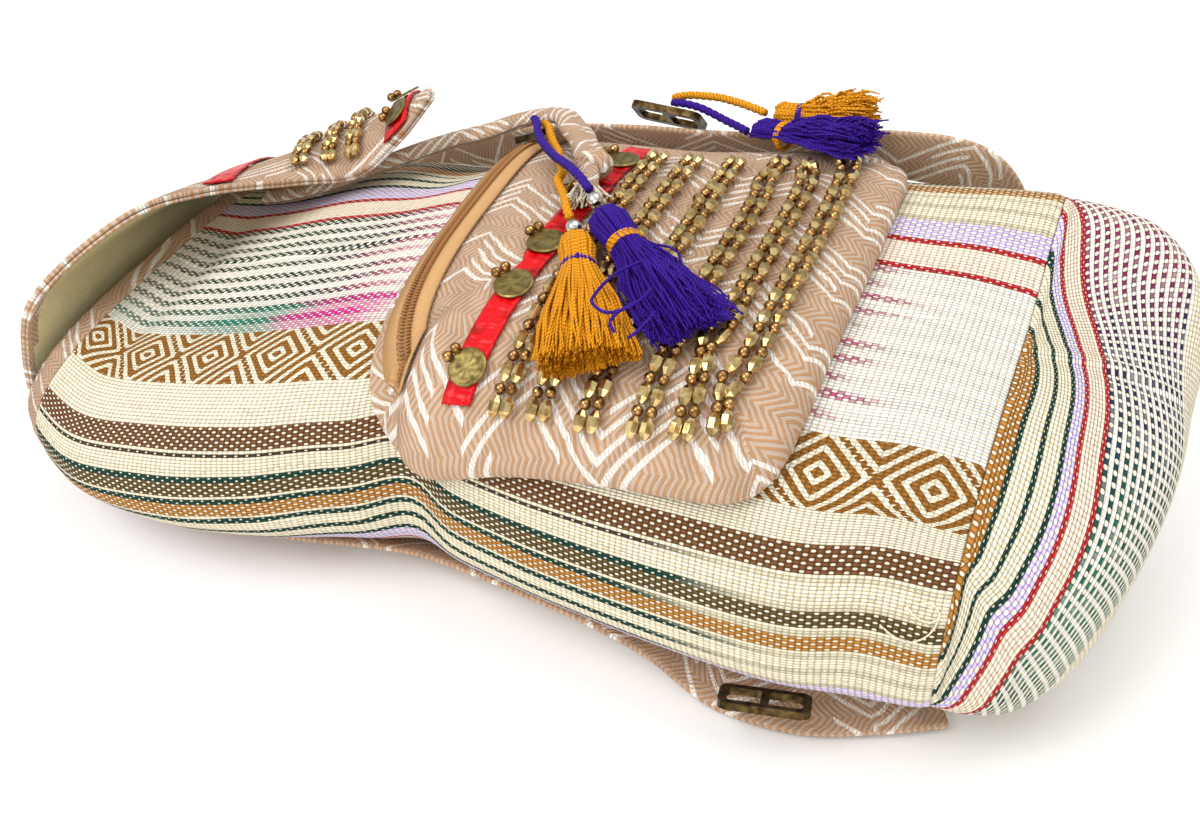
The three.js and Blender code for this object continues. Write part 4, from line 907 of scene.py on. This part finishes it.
class BACKPACK_OT_stage(bpy.types.Operator):
    """Set the floor, the lights and the camera"""
    bl_idname = "backpack.stage"
    bl_label = "Stage"

    def execute(self, context):
        settings, link = context.scene.backpack_stage, context.collection.objects.link
        mesh = bpy.data.meshes.new("floor")
        corners = [(x * FLOOR_HALF, y * FLOOR_HALF, FLOOR_DROP)
                   for x, y in ((-1, -1), (1, -1), (1, 1), (-1, 1))]
        mesh.from_pydata(corners, [], [(0, 1, 2, 3)])
        mesh.materials.append(material("pale_floor"))
        floor = bpy.data.objects.new("floor", mesh)
        link(floor)
        # Studio: bright all round, with a dimmer ring above the horizon
        world = bpy.data.worlds.new("studio")
        world.use_nodes = True
        node = partial(add_node, world.node_tree)
        height = node("SeparateXYZ", node("TexCoord")["Generated"])[2]
        above = node("Math.DIVIDE", node("Math.SUBTRACT", height, RING_HEIGHT), RING_SPREAD)
        ring = node("Math.EXPONENT", node("Math.MULTIPLY", node("Math.MULTIPLY", above, above), -1.0))
        background = world.node_tree.nodes["Background"]
        background.inputs[0].default_value = linear("#f8f8f8")
        power = node("Math.MULTIPLY_ADD", ring, -RING_DIM, STUDIO_POWER)
        world.node_tree.links.new(power, background.inputs[1])
        context.scene.world = world
        context.scene.view_settings.view_transform = "Standard"
        for name, place, width, power in SOFT_BOXES:
            data = bpy.data.lights.new(name, "AREA")
            data.size = width
            data.energy = power
            lamp = bpy.data.objects.new(name, data)
            lamp.location = place
            lamp.rotation_euler = (-Vector(place)).to_track_quat("-Z", "Y").to_euler()
            link(lamp)
        e, a, r = settings.elevation, settings.azimuth, settings.roll
        ahead = np.array([-np.sin(a) * np.cos(e), np.cos(a) * np.cos(e), -np.sin(e)])
        right = np.array([np.cos(a), np.sin(a), 0])
        up = np.cross(right, ahead)
        right, up = np.cos(r) * right + np.sin(r) * up, -np.sin(r) * right + np.cos(r) * up
        data = bpy.data.cameras.new("camera")
        data.sensor_width = 36
        data.lens = settings.lens
        camera = bpy.data.objects.new("camera", data)
        turned = np.eye(4)
        turned[:3, :3] = np.stack([right, up, -ahead], 1)
        turned[:3, 3] = settings.eye
        camera.matrix_world = Matrix(turned.tolist())
        link(camera)
        context.scene.camera = camera
        return {"FINISHED"}


class BACKPACK_OT_cords(bpy.types.Operator):
    """Lay the twisted cords of the tassels"""
    bl_idname = "backpack.cords"
    bl_label = "Tassel cords"

    def execute(self, context):
        for name, points in CORD_ROUTES.items():
            color = name.rsplit("_", 1)[1]
            line = route(points, np.linspace(0, 1, 10 * len(points)))
            shape = tube(line, CORD_RADIUS, 12, twist=0.14, lobes=2, depth=0.22)
            add_piece(name + "_twist", f"{color}_thread", name, shape, [f"{color}_viscose"])
        return {"FINISHED"}


class BACKPACK_OT_body(bpy.types.Operator):
    """Weave the striped body, thread by thread"""
    bl_idname = "backpack.body"
    bl_label = "Body"

    def execute(self, context):
        weave = context.scene.backpack_weave
        rows = int((SEAM_X - MOUTH_X) / (weave.pick * 1000)) + 1
        cols = int(CLOTH_ROUND / (weave.warp * 1000)) + 1
        x, v, turns = body_grid(rows, cols, weave.skew)
        groove = -SEAM_GROOVE * np.exp(-((x - SEAM_X - GAP) / GROOVE_REACH) ** 2)
        outer = lifted(body_point, x[:, None], turns, groove[:, None])
        place = ((v[1:] + v[:-1]) / 2 - STRIPE_START) % STRIPE_REPEAT
        cells = stripe_cells(place, (x[1:] + x[:-1]) / 2, IKAT_BODY, IKAT_ROWS, BODY_SEED)
        distance = lozenges((v - STRIPE_START) % STRIPE_REPEAT, x)
        x, v, turns = body_grid(*BODY_INSIDE, weave.skew)
        inner = lifted(body_point, x[:, None], turns, -CLOTH)
        inner_uv = np.stack(np.broadcast_arrays(x[:, None], v[None]), -1)
        faces = grid_faces(rows, cols)[:, ::-1]
        woven_piece("striped_body", "bag_body", outer, faces, inner, inner_uv, cells, distance)
        parts = []
        for places in LOOSE_THREADS:
            x, turn = np.array(places, float).T
            line = route(lifted(body_point, x, turn, LOOSE_LIFT), np.linspace(0, 1, 40))
            parts.append(tube(line, THREAD_RADIUS, 5))
        add_piece("loose_threads", "striped_cotton", None, join(parts), ["cream_thread"])
        return {"FINISHED"}


class BACKPACK_OT_base(bpy.types.Operator):
    """Weave the bulging base, its stripes running from the near floor to the far top"""
    bl_idname = "backpack.base"
    bl_label = "Base"

    def execute(self, context):
        pick = context.scene.backpack_weave.pick * 1000
        # Cloth along each line from the pole to the seam, and the size at each share of it
        turns = np.linspace(-np.pi / 2, 1.5 * np.pi, 361)
        seam = base_point(np.ones_like(turns), turns)
        phi = np.unwrap(np.arctan2(seam[:, 2] - BASE_POLE[1], seam[:, 1] - BASE_POLE[0]))
        sizes = np.sin(np.linspace(0, np.pi / 2, 70))
        lines = base_point(sizes[None], np.repeat(turns[:, None], len(sizes), 1))
        steps = np.linalg.norm(np.diff(lines, axis=1), axis=2)
        run = np.concatenate([np.zeros((len(turns), 1)), np.cumsum(steps, 1)], 1)
        shares = np.linspace(0, 1, 101)
        inverse = np.array([np.interp(shares, r / r[-1], sizes) for r in run])
        # Columns of warps from the near top outwards, with the crowded stripes at the seam
        edges, kinds = [BASE_COLUMNS[0][0]], []
        for end, count, place in BASE_COLUMNS[1:]:
            kinds.extend((place[0] + (place[1] - place[0]) * (k + 0.5) / count) for k in range(count))
            edges.extend(edges[-1] + (end - edges[-1]) * np.arange(1, count + 1) / count)
        c, e = np.array(edges), np.arange(*BASE_ENDS, pick)
        ee = np.broadcast_to(e[:, None], (len(e), len(c)))
        outside_ikat = np.clip(c[None] - BASE_IKAT_START, 0, BASE_BOW_REACH)
        cc = c[None] - (column(BASE_BOW, 1, ee) + column(BASE_BOW, 2, ee) * outside_ikat)
        # Turn and share of each crossing as seen from the pole, and its size between four known ones
        cos, sin = np.cos(BASE_STRIPE_TURN), np.sin(BASE_STRIPE_TURN)
        y, z = ee * cos - cc * sin, ee * sin + cc * cos
        way = -1 if phi[0] > phi[-1] else 1
        angle = (np.arctan2(z, y) - phi[::way][0]) % (2 * np.pi) + phi[::way][0]
        turn = np.interp(angle, phi[::way], turns[::way])
        index = (turn - turns[0]) / (turns[1] - turns[0])
        low = np.clip(index.astype(int), 0, len(turns) - 2)
        length = run[:, -1][low] * (1 - index + low) + run[:, -1][low + 1] * (index - low)
        share = np.hypot(y, z) / length
        outside = share >= 1
        at = np.clip(share, 0, 1) * 100
        k = np.clip(at.astype(int), 0, 99)
        size = sum(inverse[low + dl, k + dk] * over_turn * over_share
                   for dl, over_turn in ((0, 1 - index + low), (1, index - low))
                   for dk, over_share in ((0, 1 - at + k), (1, at - k)))
        size = np.where(outside, 1.0, size)
        outer = base_point(size, turn)
        groove = SEAM_GROOVE * np.exp(-((1 - size) * BASE_HALF / GROOVE_REACH) ** 2)
        outer = outer + unit(np.array([0, *BASE_POLE]) - outer * [0, 1, 1]) * groove[..., None]
        faces = grid_faces(len(e), len(c))
        kept = ~outside.ravel()[faces].all(1)
        cells = stripe_cells(np.array(kinds), (e[1:] + e[:-1]) / 2, IKAT_BASE, IKAT_ROWS_BASE, BASE_SEED)
        distance = lozenges(np.interp(c, BASE_DIAMONDS, DIAMOND_STRIPE[::-1]), e)
        rings, spokes = BASE_INSIDE
        around = np.broadcast_to(np.linspace(0, 2 * np.pi, spokes), BASE_INSIDE).copy()
        pole = [SEAM_X, *BASE_POLE]
        inner = base_point(np.linspace(1, 0, rings)[:, None], around)
        inner = np.array(pole) + (inner - pole) * (1 - BASE_INSIDE_SHRINK * CLOTH)
        woven_piece("striped_base", "base_panel", outer, faces[kept], inner, grid_numbers(*BASE_INSIDE) * 8,
                    [values[kept] for values in cells], distance)
        return {"FINISHED"}


class BACKPACK_OT_mouth_band(bpy.types.Operator):
    """Bind the mouth with its jacquard band"""
    bl_idname = "backpack.mouth_band"
    bl_label = "Mouth band"

    def execute(self, context):
        rows, girth = 9, 480
        x = np.linspace(MOUTH_X - GAP - MOUTH_BAND_WIDTH, MOUTH_X - GAP, rows)
        xx, tt = np.meshgrid(x, circle(180), indexing="ij")
        gathers = 0.35 * np.sin(38 * tt + 1.5 * np.sin(5 * tt)) * np.linspace(0.3, 1, rows)[:, None]
        swell = 0.5 * np.sin(np.linspace(0, np.pi, rows))[:, None] + gathers
        outer = lifted(body_point, xx, tt, swell)
        inner = lifted(body_point, xx, tt, -MOUTH_BAND_WALL)
        shape = wall(outer, inner, np.stack([xx, tt / (2 * np.pi) * girth], -1), True)
        shape[0][:, 2] = np.maximum(shape[0][:, 2], 0)
        add_piece("jacquard_mouth_band", "tan_jacquard", "mouth_band", shape, ["cotton_jacquard"])
        return {"FINISHED"}


class BACKPACK_OT_flap(bpy.types.Operator):
    """Hang the flap with its lining"""
    bl_idname = "backpack.flap"
    bl_label = "Flap"

    def execute(self, context):
        turned_edge, seam_half = 5, 86
        at, across = np.meshgrid(np.linspace(0, 1, 121), np.linspace(-1, 1, 49), indexing="ij")
        half = np.linalg.norm(flap_point(at, 1.0) - flap_point(at, -1.0), axis=-1) / 2
        uv = np.stack([at * FLAP_LENGTH, half * across], -1)
        front, middle, face, back = (lifted(flap_point, at, across, lift)
                                     for lift in (FLAP_CLOTH, 0, -GAP, -GAP - LINING_CLOTH))
        shape = wall(front, middle, uv)
        flap = add_piece("jacquard_flap", "tan_jacquard", "flap", shape, ["cotton_jacquard"])
        shape = wall(face, back, uv)
        edge = np.minimum(half * (1 - np.abs(across)), (1 - at) * FLAP_LENGTH * 0.7).ravel()
        near_edge = np.tile(edge, 2)[shape[1]].mean(1) < turned_edge
        lining = add_piece("khaki_lining", "khaki_lining", "flap_lining", shape,
                           ["khaki_cotton", "cotton_jacquard"], near_edge)
        return {"FINISHED"}


class BACKPACK_OT_pocket(bpy.types.Operator):
    """Sew the pocket on"""
    bl_idname = "backpack.pocket"
    bl_label = "Pocket"

    def execute(self, context):
        drawn_in = 0.98
        even = np.sin(np.linspace(-1, 1, 91) * np.pi / 2)
        a, b = np.meshgrid(even, even, indexing="ij")
        x, y = pocket_plan(a * drawn_in, b * drawn_in)
        inner = lifted(front_point, x, y, POCKET_SEAT + pocket_lift(a, b))
        shape = wall(pocket_point(a, b), inner, np.stack([a * POCKET_LONG, b * POCKET_WIDE], -1))
        add_piece("jacquard_pocket", "tan_jacquard", "pocket", shape, ["cotton_jacquard"])
        return {"FINISHED"}


class BACKPACK_OT_zip(bpy.types.Operator):
    """Lay the zip: a tape and two rows of coil"""
    bl_idname = "backpack.zip"
    bl_label = "Zip"

    def execute(self, context):
        def place(b, offset):
            """Place on the pocket for a station across it and an offset along it."""
            return -1 + ZIP_SLOPE * ZIP_PLACE + offset / POCKET_LONG, b
        low, thick = TRIM_SEAT, TRIM_SEAT + ZIP_TAPE
        profile = [(-ZIP_HALF, low), (ZIP_HALF, low), (ZIP_HALF, thick - ZIP_EDGE), (ZIP_HALF / 3, thick),
                   (-ZIP_HALF / 3, thick), (-ZIP_HALF, thick - ZIP_EDGE)]
        parts = [strip_on(pocket_point, np.linspace(-TAPE_REACH, TAPE_REACH, 80), profile, place)]
        line = np.linspace(-COIL_REACH, COIL_REACH, 400)
        reach = arc(lifted(pocket_point, *place(line, 0.0), 0.0))
        spots = np.interp(np.arange(1, reach[-1] - 1, COIL_PITCH), reach, line)
        # One tooth: six places round by five across it, its last quads joining the sixth place to the first
        turn, wide = (grid.ravel() for grid in np.meshgrid(circle(6), np.linspace(-1, 1, 5), indexing="ij"))
        closing = np.stack([np.arange(25, 29), np.arange(4), np.arange(1, 5), np.arange(26, 30)], -1)
        tooth = np.vstack([grid_faces(6, 5), closing])
        swell = np.sqrt(np.maximum(0.05, 1 - wide ** 2))
        lift = thick + COIL_RISE * (1 + np.sin(turn) * swell)
        step = spots[1] - spots[0]
        for hand in (-1, 1):
            b = spots[:, None] + COIL_LONG * step * (np.cos(turn) * swell)[None]
            b = b + COIL_LEAN * hand * step * wide[None]
            points = lifted(pocket_point, *place(b, hand * COIL_OFF + COIL_HALF * wide), lift)
            parts.append((points, copies(tooth, len(spots), len(turn)), np.zeros((points.size // 3, 2))))
        add_piece("zip_tape_and_coil", "zip_tape", "pocket_zip", join(parts), ["zip_tape_twill", "zip_coil"],
                  after(parts, 1))
        return {"FINISHED"}


class BACKPACK_OT_ribbons(bpy.types.Operator):
    """Lay the red satin ribbons"""
    bl_idname = "backpack.ribbons"
    bl_label = "Ribbons"

    def execute(self, context):
        crown, ripple = 0.25, 1.4
        across = np.linspace(-RIBBON_WIDTH / 2, RIBBON_WIDTH / 2, 9)
        stations = np.linspace(POCKET_RIBBON_NEAR, POCKET_RIBBON_FAR, 90)
        ribbons = [("pocket_ribbon", pocket_point, stations, TRIM_SEAT,
                    on_pocket(POCKET_RIBBON_X, POCKET_RIBBON_SLANT))]
        stations = np.linspace(-FLAP_RIBBON_REACH, FLAP_RIBBON_REACH, 70)
        ribbons += [(f"flap_ribbon_{i}", flap_point, stations, FLAP_TRIM_SEAT, on_flap(at))
                    for i, at in enumerate(FLAP_RIBBONS, 1)]
        for name, surface, stations, low, place in ribbons:
            top = low + RIBBON_CLOTH + crown * np.cos(across * ripple)
            profile = [*zip(across, np.full(len(across), low)), *zip(across[::-1], top[::-1])]
            shape = strip_on(surface, stations, profile, place)
            add_piece("satin_" + name, "red_satin", name, shape, ["satin_ribbon"])
        return {"FINISHED"}


class BACKPACK_OT_beads(bpy.types.Operator):
    """Thread the double rows of gold beads"""
    bl_idname = "backpack.beads"
    bl_label = "Bead rows"

    def execute(self, context):
        rows = [(f"pocket_bead_row_{i}", pocket_point, np.linspace(near, far, 300), TRIM_SEAT, on_pocket(x))
                for i, (x, near, far) in enumerate(POCKET_ROWS, 1)]
        stations = np.linspace(-FLAP_ROW_REACH, FLAP_ROW_REACH, 300)
        rows += [(f"flap_bead_row_{i}", flap_point, stations, FLAP_TRIM_SEAT, on_flap(at))
                 for i, at in enumerate(FLAP_ROWS, 1)]
        rng = np.random.default_rng(12)
        for name, surface, stations, seat, place in rows:
            parts, marks = [], []
            for hand in (-1, 1):
                spot = place(stations, hand * STRING_PITCH / 2)
                line, above = (lifted(surface, *spot, seat + STRING_RADIUS + rise) for rise in (0, 1))
                length = arc(line)
                count = max(1, int(round((length[-1] - 2 * BEAD_HALF) / BEAD_PAIR)))
                pitch = (length[-1] - 2 * BEAD_HALF) / count
                kinds = ((LONG_BEAD, 7, BEAD_HALF, count + 1), (ROUND_BEAD, 12, BEAD_HALF + pitch / 2, count))
                for mark, (profile, sides, start, number) in enumerate(kinds):
                    spots = start + pitch * np.arange(number) + rng.normal(0, BEAD_SLACK, number)
                    middle, normal, ahead = (
                        np.stack([np.interp(spots, length, data[:, k]) for k in range(3)], -1)
                        for data in (line, above - line, tangents(line)))
                    parts.append(placed(solid_of_turning(profile, sides), middle, ahead, unit(normal)))
                    marks.append(np.full(len(parts[-1][1]), mark))
            marks = np.concatenate(marks)
            add_piece(name + "_beads", "gold_bead", name, join(parts), ["faceted_gold", "bronze_bead"],
                      marks, marks.astype(bool))
        return {"FINISHED"}


class BACKPACK_OT_coins(bpy.types.Operator):
    """Hang the coins on their pairs of beads"""
    bl_idname = "backpack.coins"
    bl_label = "Coins"

    def execute(self, context):
        place = on_pocket(POCKET_RIBBON_X, POCKET_RIBBON_SLANT)
        spots = [(f"pocket_coin_{i}", pocket_point, place(y, 0), TRIM_SEAT, POCKET_COIN_HANG)
                 for i, y in enumerate(POCKET_COINS_Y, 1)]
        place = on_flap(FLAP_RIBBONS[1])
        spots += [(f"flap_coin_{i}", flap_point, place(across, 0), FLAP_TRIM_SEAT, FLAP_COIN_HANG)
                  for i, across in enumerate(FLAP_COINS, 1)]
        # Relief: bells of the radius for the rim, a ring of petals and a ring of dots
        turn = circle(64)
        r, t = np.meshgrid(COIN_RINGS, turn, indexing="ij")
        raised = 0
        for middle, half, share, waves in COIN_BELLS:
            bell = np.exp(-((r - middle) / half) ** 2) * (0.5 + 0.5 * np.cos(waves * t))
            raised = np.maximum(raised, share * bell)
        relief = COIN_THICK - COIN_RELIEF + COIN_RELIEF * raised
        relief[r > COIN_EDGE] = COIN_THICK * COIN_EDGE_SHARE
        top = np.stack([r * np.cos(t), r * np.sin(t), relief], -1)
        under = np.stack([COIN_RADIUS * np.cos(turn), COIN_RADIUS * np.sin(turn), 0 * turn], -1)[None]
        disc = np.concatenate([top, under, under * [0, 0, 1]]).reshape(-1, 3)
        faces = grid_faces(len(COIN_RINGS) + 2, len(turn), 0, True)
        for name, surface, (u, v), seat, hang in spots:
            u, v, lift = np.array([u]), np.array([v]), seat + RIBBON_CLOTH + GAP
            base = lifted(surface, u, v, np.array([lift]))[0]
            normal = unit(lifted(surface, u, v, np.array([lift + 1.0]))[0] - base)
            hang = np.asarray(hang, float)
            out = unit(hang - normal * (hang @ normal))
            side = np.cross(out, normal)
            parts = [(base + disc @ np.stack([out, -side, normal]), faces, np.zeros((len(disc), 2)))]
            for hand in (-1, 1):
                middle = (base + out * (COIN_RADIUS + COIN_BEAD * 0.3) + side * hand * COIN_BEAD * 0.94
                          + normal * COIN_BEAD)
                parts.append(placed(solid_of_turning(ROUND_BEAD, 14), middle[None], side[None], normal[None]))
            add_piece(name + "_struck", "aged_coin", name, join(parts), ["tarnished_brass", "bronze_bead"],
                      after(parts, 1))
        return {"FINISHED"}


class BACKPACK_OT_straps(bpy.types.Operator):
    """Lay the two shoulder straps and finish their sliders"""
    bl_idname = "backpack.straps"
    bl_label = "Straps"

    def execute(self, context):
        # Section with softened edges and a stitched groove along each
        half, thick = STRAP_WIDTH / 2, STRAP_CLOTH / 2
        soft, seam_depth, seam_in, seam_half = 0.5, 0.25, 3.4, 0.7
        across = np.linspace(-half, half, 21)
        crown = thick * (1 - soft * np.clip((np.abs(across) - half + thick) / thick, 0, 1))
        groove = seam_depth * np.exp(-((np.abs(across) - half + seam_in) / seam_half) ** 2)
        under, top = (np.stack([across, side * (crown - groove)], 1) for side in (-1, 1))
        section = np.concatenate([under, top[::-1]])
        for name, rows, steps in (("near_strap", NEAR_STRAP, 220), ("far_strap", FAR_STRAP, 260)):
            share = np.linspace(0, 1, steps)
            line = route(rows[:, :3], share)
            lean = np.radians(np.interp(share * (len(rows) - 1), np.arange(len(rows)), rows[:, 3]))
            along = tangents(line)
            face = np.stack([np.zeros_like(lean), np.sin(lean), -np.cos(lean)], -1)
            wide = unit(np.cross(face, along))
            thin = unit(np.cross(along, wide))
            rings = (line[:, None] + section[None, :, :1] * wide[:, None]
                     + section[None, :, 1:] * thin[:, None])
            shape = skin(line, rings, arc(line), section[:, 0])
            add_piece("jacquard_" + name, "tan_jacquard", name, shape, ["cotton_jacquard"])
        for name in ("near_strap_slider", "far_strap_slider", "zip_slider"):
            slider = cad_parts[name]
            slider.data.materials.clear()
            slider.data.materials.append(material("darkened_brass"))
            rounding = slider.modifiers.new("rounding", "BEVEL")
            rounding.width = 0.7 * MM
            rounding.segments = 3
        return {"FINISHED"}


class BACKPACK_OT_drawstring(bpy.types.Operator):
    """Lay the folded cloth drawstring, its knot and its frayed end"""
    bl_idname = "backpack.drawstring"
    bl_label = "Drawstring"

    def execute(self, context):
        # Flattened tube with a crease along its top and a slow swell, about 9.5 mm across
        crease_depth, crease_turn, crease_half, swell, girth, across = 0.22, 0.5, 0.25, 0.05, 4.8, 0.0095
        line = route(DRAWSTRING_ROUTE, np.linspace(0, 1, 120))
        side, face = axes_across(tangents(line))
        turn, length = circle(24), arc(line)
        crease = 1 - crease_depth * np.exp(-((turn - np.pi / 2 - crease_turn) / crease_half) ** 2)
        puff = 1 + swell * np.sin(length / 6.0)[:, None] * np.cos(2 * turn)[None]
        rings = line[:, None] + puff[..., None] * (
            (DRAWSTRING_WIDE * np.cos(turn) * crease)[None, :, None] * side[:, None]
            + (DRAWSTRING_THICK * np.sin(turn) * crease)[None, :, None] * face[:, None])
        shape = skin(line, rings, length, turn * girth)
        cord = add_piece("jacquard_drawstring", "tan_jacquard", "drawstring", shape, ["cotton_jacquard"])
        # Knot: three turns of the flattened tube round an egg, and the end past it
        groove, turns, tail_radii, tail_flat = 0.16, 3, (4.2, 5.2), 0.7
        theta, phi = np.meshgrid(np.linspace(0, np.pi, 40), circle(60), indexing="ij")
        wrap = 1 - groove * (0.5 - 0.5 * np.cos(turns * theta * 2 + phi)) ** 3
        wide, long, deep = KNOT_HALVES
        egg = np.stack([wide * np.sin(theta) * np.cos(phi), long * np.cos(theta),
                        deep * np.sin(theta) * np.sin(phi)], -1)
        uv = np.stack([theta * 7, phi * 5], -1)
        parts = [(KNOT + egg * wrap[..., None], grid_faces(*theta.shape, 0, True), uv)]
        way = np.array([-np.sin(TAIL_TURN), np.cos(TAIL_TURN), 0])
        tail = TAIL + np.linspace(*TAIL_ENDS, 20)[:, None] * way
        parts.append(tube(tail, np.linspace(*tail_radii, 20), 16, lobes=5, depth=0.25, twist=0.004))
        points = parts[1][0]
        points[:, 2] = TAIL[2] + (points[:, 2] - TAIL[2]) * tail_flat
        rng = np.random.default_rng(6)
        for _ in range(FRAY_STRANDS):
            spread, reach = rng.uniform(-1, 1), rng.uniform(5, 9)
            start = FRAY + FRAY_LEFT * spread * 4.6 + [0, 0, rng.uniform(-2.4, 2.6)]
            away = FRAY_AHEAD + FRAY_LEFT * (0.45 * spread + rng.normal(0, 0.15))
            away = unit(away + [0, 0, rng.normal(0, 0.16)])
            curl = FRAY_LEFT * rng.normal(0, 0.8)
            share = np.linspace(0, 1, 6)[:, None]
            parts.append(tube(start + away * reach * share + curl * share ** 2, THREAD_RADIUS, 5))
        knot = add_piece("jacquard_knot", "tan_jacquard", "drawstring_knot", join(parts),
                         ["cotton_jacquard", "cream_thread"], after(parts, 2))
        path = metres(route(DRAWSTRING_ROUTE, np.linspace(0, 1, 36)))
        return {"FINISHED"}


class BACKPACK_OT_tassels(bpy.types.Operator):
    """Comb out the tassels, strand by strand, and set their beads"""
    bl_idname = "backpack.tassels"
    bl_label = "Tassels"

    def execute(self, context):
        rng = np.random.default_rng(21)
        count, steps = TASSEL_STRANDS, TASSEL_STEPS
        at, ring = np.linspace(0.05, 1, steps), circle(STRAND_SIDES)
        strand_faces = grid_faces(steps, STRAND_SIDES, 0, True)
        thick = np.interp(at, (0, 0.7, 1), (STRAND_RADIUS, STRAND_RADIUS, STRAND_TIP))[None, :, None, None]
        for name, start, stop, head, end, flat, ragged, curl in TASSELS:
            color = name.rsplit("_", 1)[1]
            start, stop = np.array(start, float), np.array(stop, float)
            length = np.linalg.norm(stop - start)
            along = unit(stop - start)
            side, face = axes_across(along)
            # Strands fan out from the neck, wave, end unevenly and lie on the pocket
            size = np.interp(at, (0, 0.06, 0.16, 0.26, 0.4, 0.7, 1),
                             (0.35 * head, 0.85 * head, head, 0.8 * head, 0.45 * end, 0.8 * end, end)) * 0.93
            squash = np.interp(at, (0.3, 0.4, 1), (0.94, 0.8, flat))
            turn = rng.uniform(0, 2 * np.pi, count)
            reach = np.sqrt(rng.uniform(0.1, 1, count))
            drift = rng.normal(0, 0.25, count)
            phase = turn[:, None] + drift[:, None] * at[None] ** 2
            wave = np.sin(at[None] * rng.uniform(6, 16, count)[:, None] + rng.uniform(0, 6, count)[:, None])
            wave = wave * curl * np.clip(at * 2.5 - 0.7, 0.1, 1)[None]
            last = 1 - np.minimum(np.abs(rng.normal(0, ragged, count)), 0.45)
            radius = size[None] * reach[:, None] + wave
            line = start + along * (length * at[None] * last[:, None])[..., None]
            line = line + side * (radius * np.cos(phase))[..., None]
            line = line + face * (radius * squash[None] * np.sin(phase))[..., None]
            line[..., 2] = np.maximum(line[..., 2], rest_height(line[..., 0], line[..., 1]) + 0.3)
            left, above = axes_across(unit(np.gradient(line, axis=1)))
            strands = line[:, :, None] + thick * (
                np.cos(ring)[:, None] * left[:, :, None] + np.sin(ring)[:, None] * above[:, :, None])
            girth = turn[:, None, None] * 3 + ring * 0.5
            uv = np.stack(np.broadcast_arrays((at * length)[None, :, None], girth), -1)
            parts = [(strands, copies(strand_faces, count, steps * STRAND_SIDES), uv)]
            for loop in STRAYS.get(name, ()):
                parts.append(tube(route(loop, np.linspace(0, 1, 8 * len(loop))), 0.6, 5))
            # Tie round the neck: a few turns of the other thread
            wound = np.linspace(0, TIE_TURNS * 2 * np.pi, TIE_STEPS)
            place = np.linspace(*TIE_PLACE, TIE_STEPS)
            neck = np.interp(place, (0.16, 0.26, 0.4), (head, 0.8 * head, 0.45 * end)) * 0.97
            coil = start + along * (length * place)[:, None] + side * (neck * np.cos(wound))[:, None]
            coil = coil + face * (neck * 0.92 * np.sin(wound))[:, None]
            parts.append(tube(coil, TIE_RADIUS, 6, up=along))
            finishes = [f"{color}_viscose", f"{OTHER_THREAD[color]}_viscose"]
            add_piece(name + "_strands", f"{color}_thread", name, join(parts), finishes,
                      after(parts, len(parts) - 1))
        globe = solid_of_turning(SILVER_BEAD, 28)
        for i, middle in enumerate(TASSEL_BEADS, 1):
            shape = placed(globe, np.array([middle], float), unit(np.array([[0.6, -0.8, 0]])),
                           np.array([[0, 0, 1.0]]))
            add_piece(f"silver_bead_{i}", "silver_bead", f"zip_tassel_bead_{i}", shape, ["silvered_metal"])
        # Each cord ends in its tassel, and those of the zip carry a bead; here only the length of each cord's
        # route is measured, and it is not used
        for name, points in CORD_ROUTES.items():
            path = metres(route(points, np.linspace(0, 1, 30)))
            float(arc(path)[-1])
        return {"FINISHED"}


class BACKPACK_PT_panel(bpy.types.Panel):
    """Sidebar panel of the backpack"""
    bl_idname = "BACKPACK_PT_panel"
    bl_label = "Woven backpack"
    bl_space_type = "VIEW_3D"
    bl_region_type = "UI"
    bl_category = "Backpack"

    def draw(self, context):
        for kind in OPERATORS:
            self.layout.operator(kind.bl_idname)
        for group in (context.scene.backpack_stage, context.scene.backpack_weave):
            for key in group.bl_rna.properties.keys():
                if key not in {"rna_type", "name"}:
                    self.layout.prop(group, key)


OPERATORS = (
    BACKPACK_OT_stage, BACKPACK_OT_cords, BACKPACK_OT_body, BACKPACK_OT_base,
    BACKPACK_OT_mouth_band, BACKPACK_OT_flap, BACKPACK_OT_pocket, BACKPACK_OT_zip,
    BACKPACK_OT_ribbons, BACKPACK_OT_beads, BACKPACK_OT_coins, BACKPACK_OT_straps,
    BACKPACK_OT_drawstring, BACKPACK_OT_tassels)
CLASSES = (StageSettings, WeaveSettings, *OPERATORS, BACKPACK_PT_panel)


def register():
    for kind in CLASSES:
        bpy.utils.register_class(kind)
    bpy.types.Scene.backpack_stage = bpy.props.PointerProperty(type=StageSettings)
    bpy.types.Scene.backpack_weave = bpy.props.PointerProperty(type=WeaveSettings)


def unregister():
    del bpy.types.Scene.backpack_weave
    del bpy.types.Scene.backpack_stage
    for kind in reversed(CLASSES):
        bpy.utils.unregister_class(kind)


def main():
    """Registers the add-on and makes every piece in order."""
    register()
    for kind in OPERATORS:
        group, name = kind.bl_idname.split(".")
        getattr(getattr(bpy.ops, group), name)()


if __name__ == "__main__":
    main()
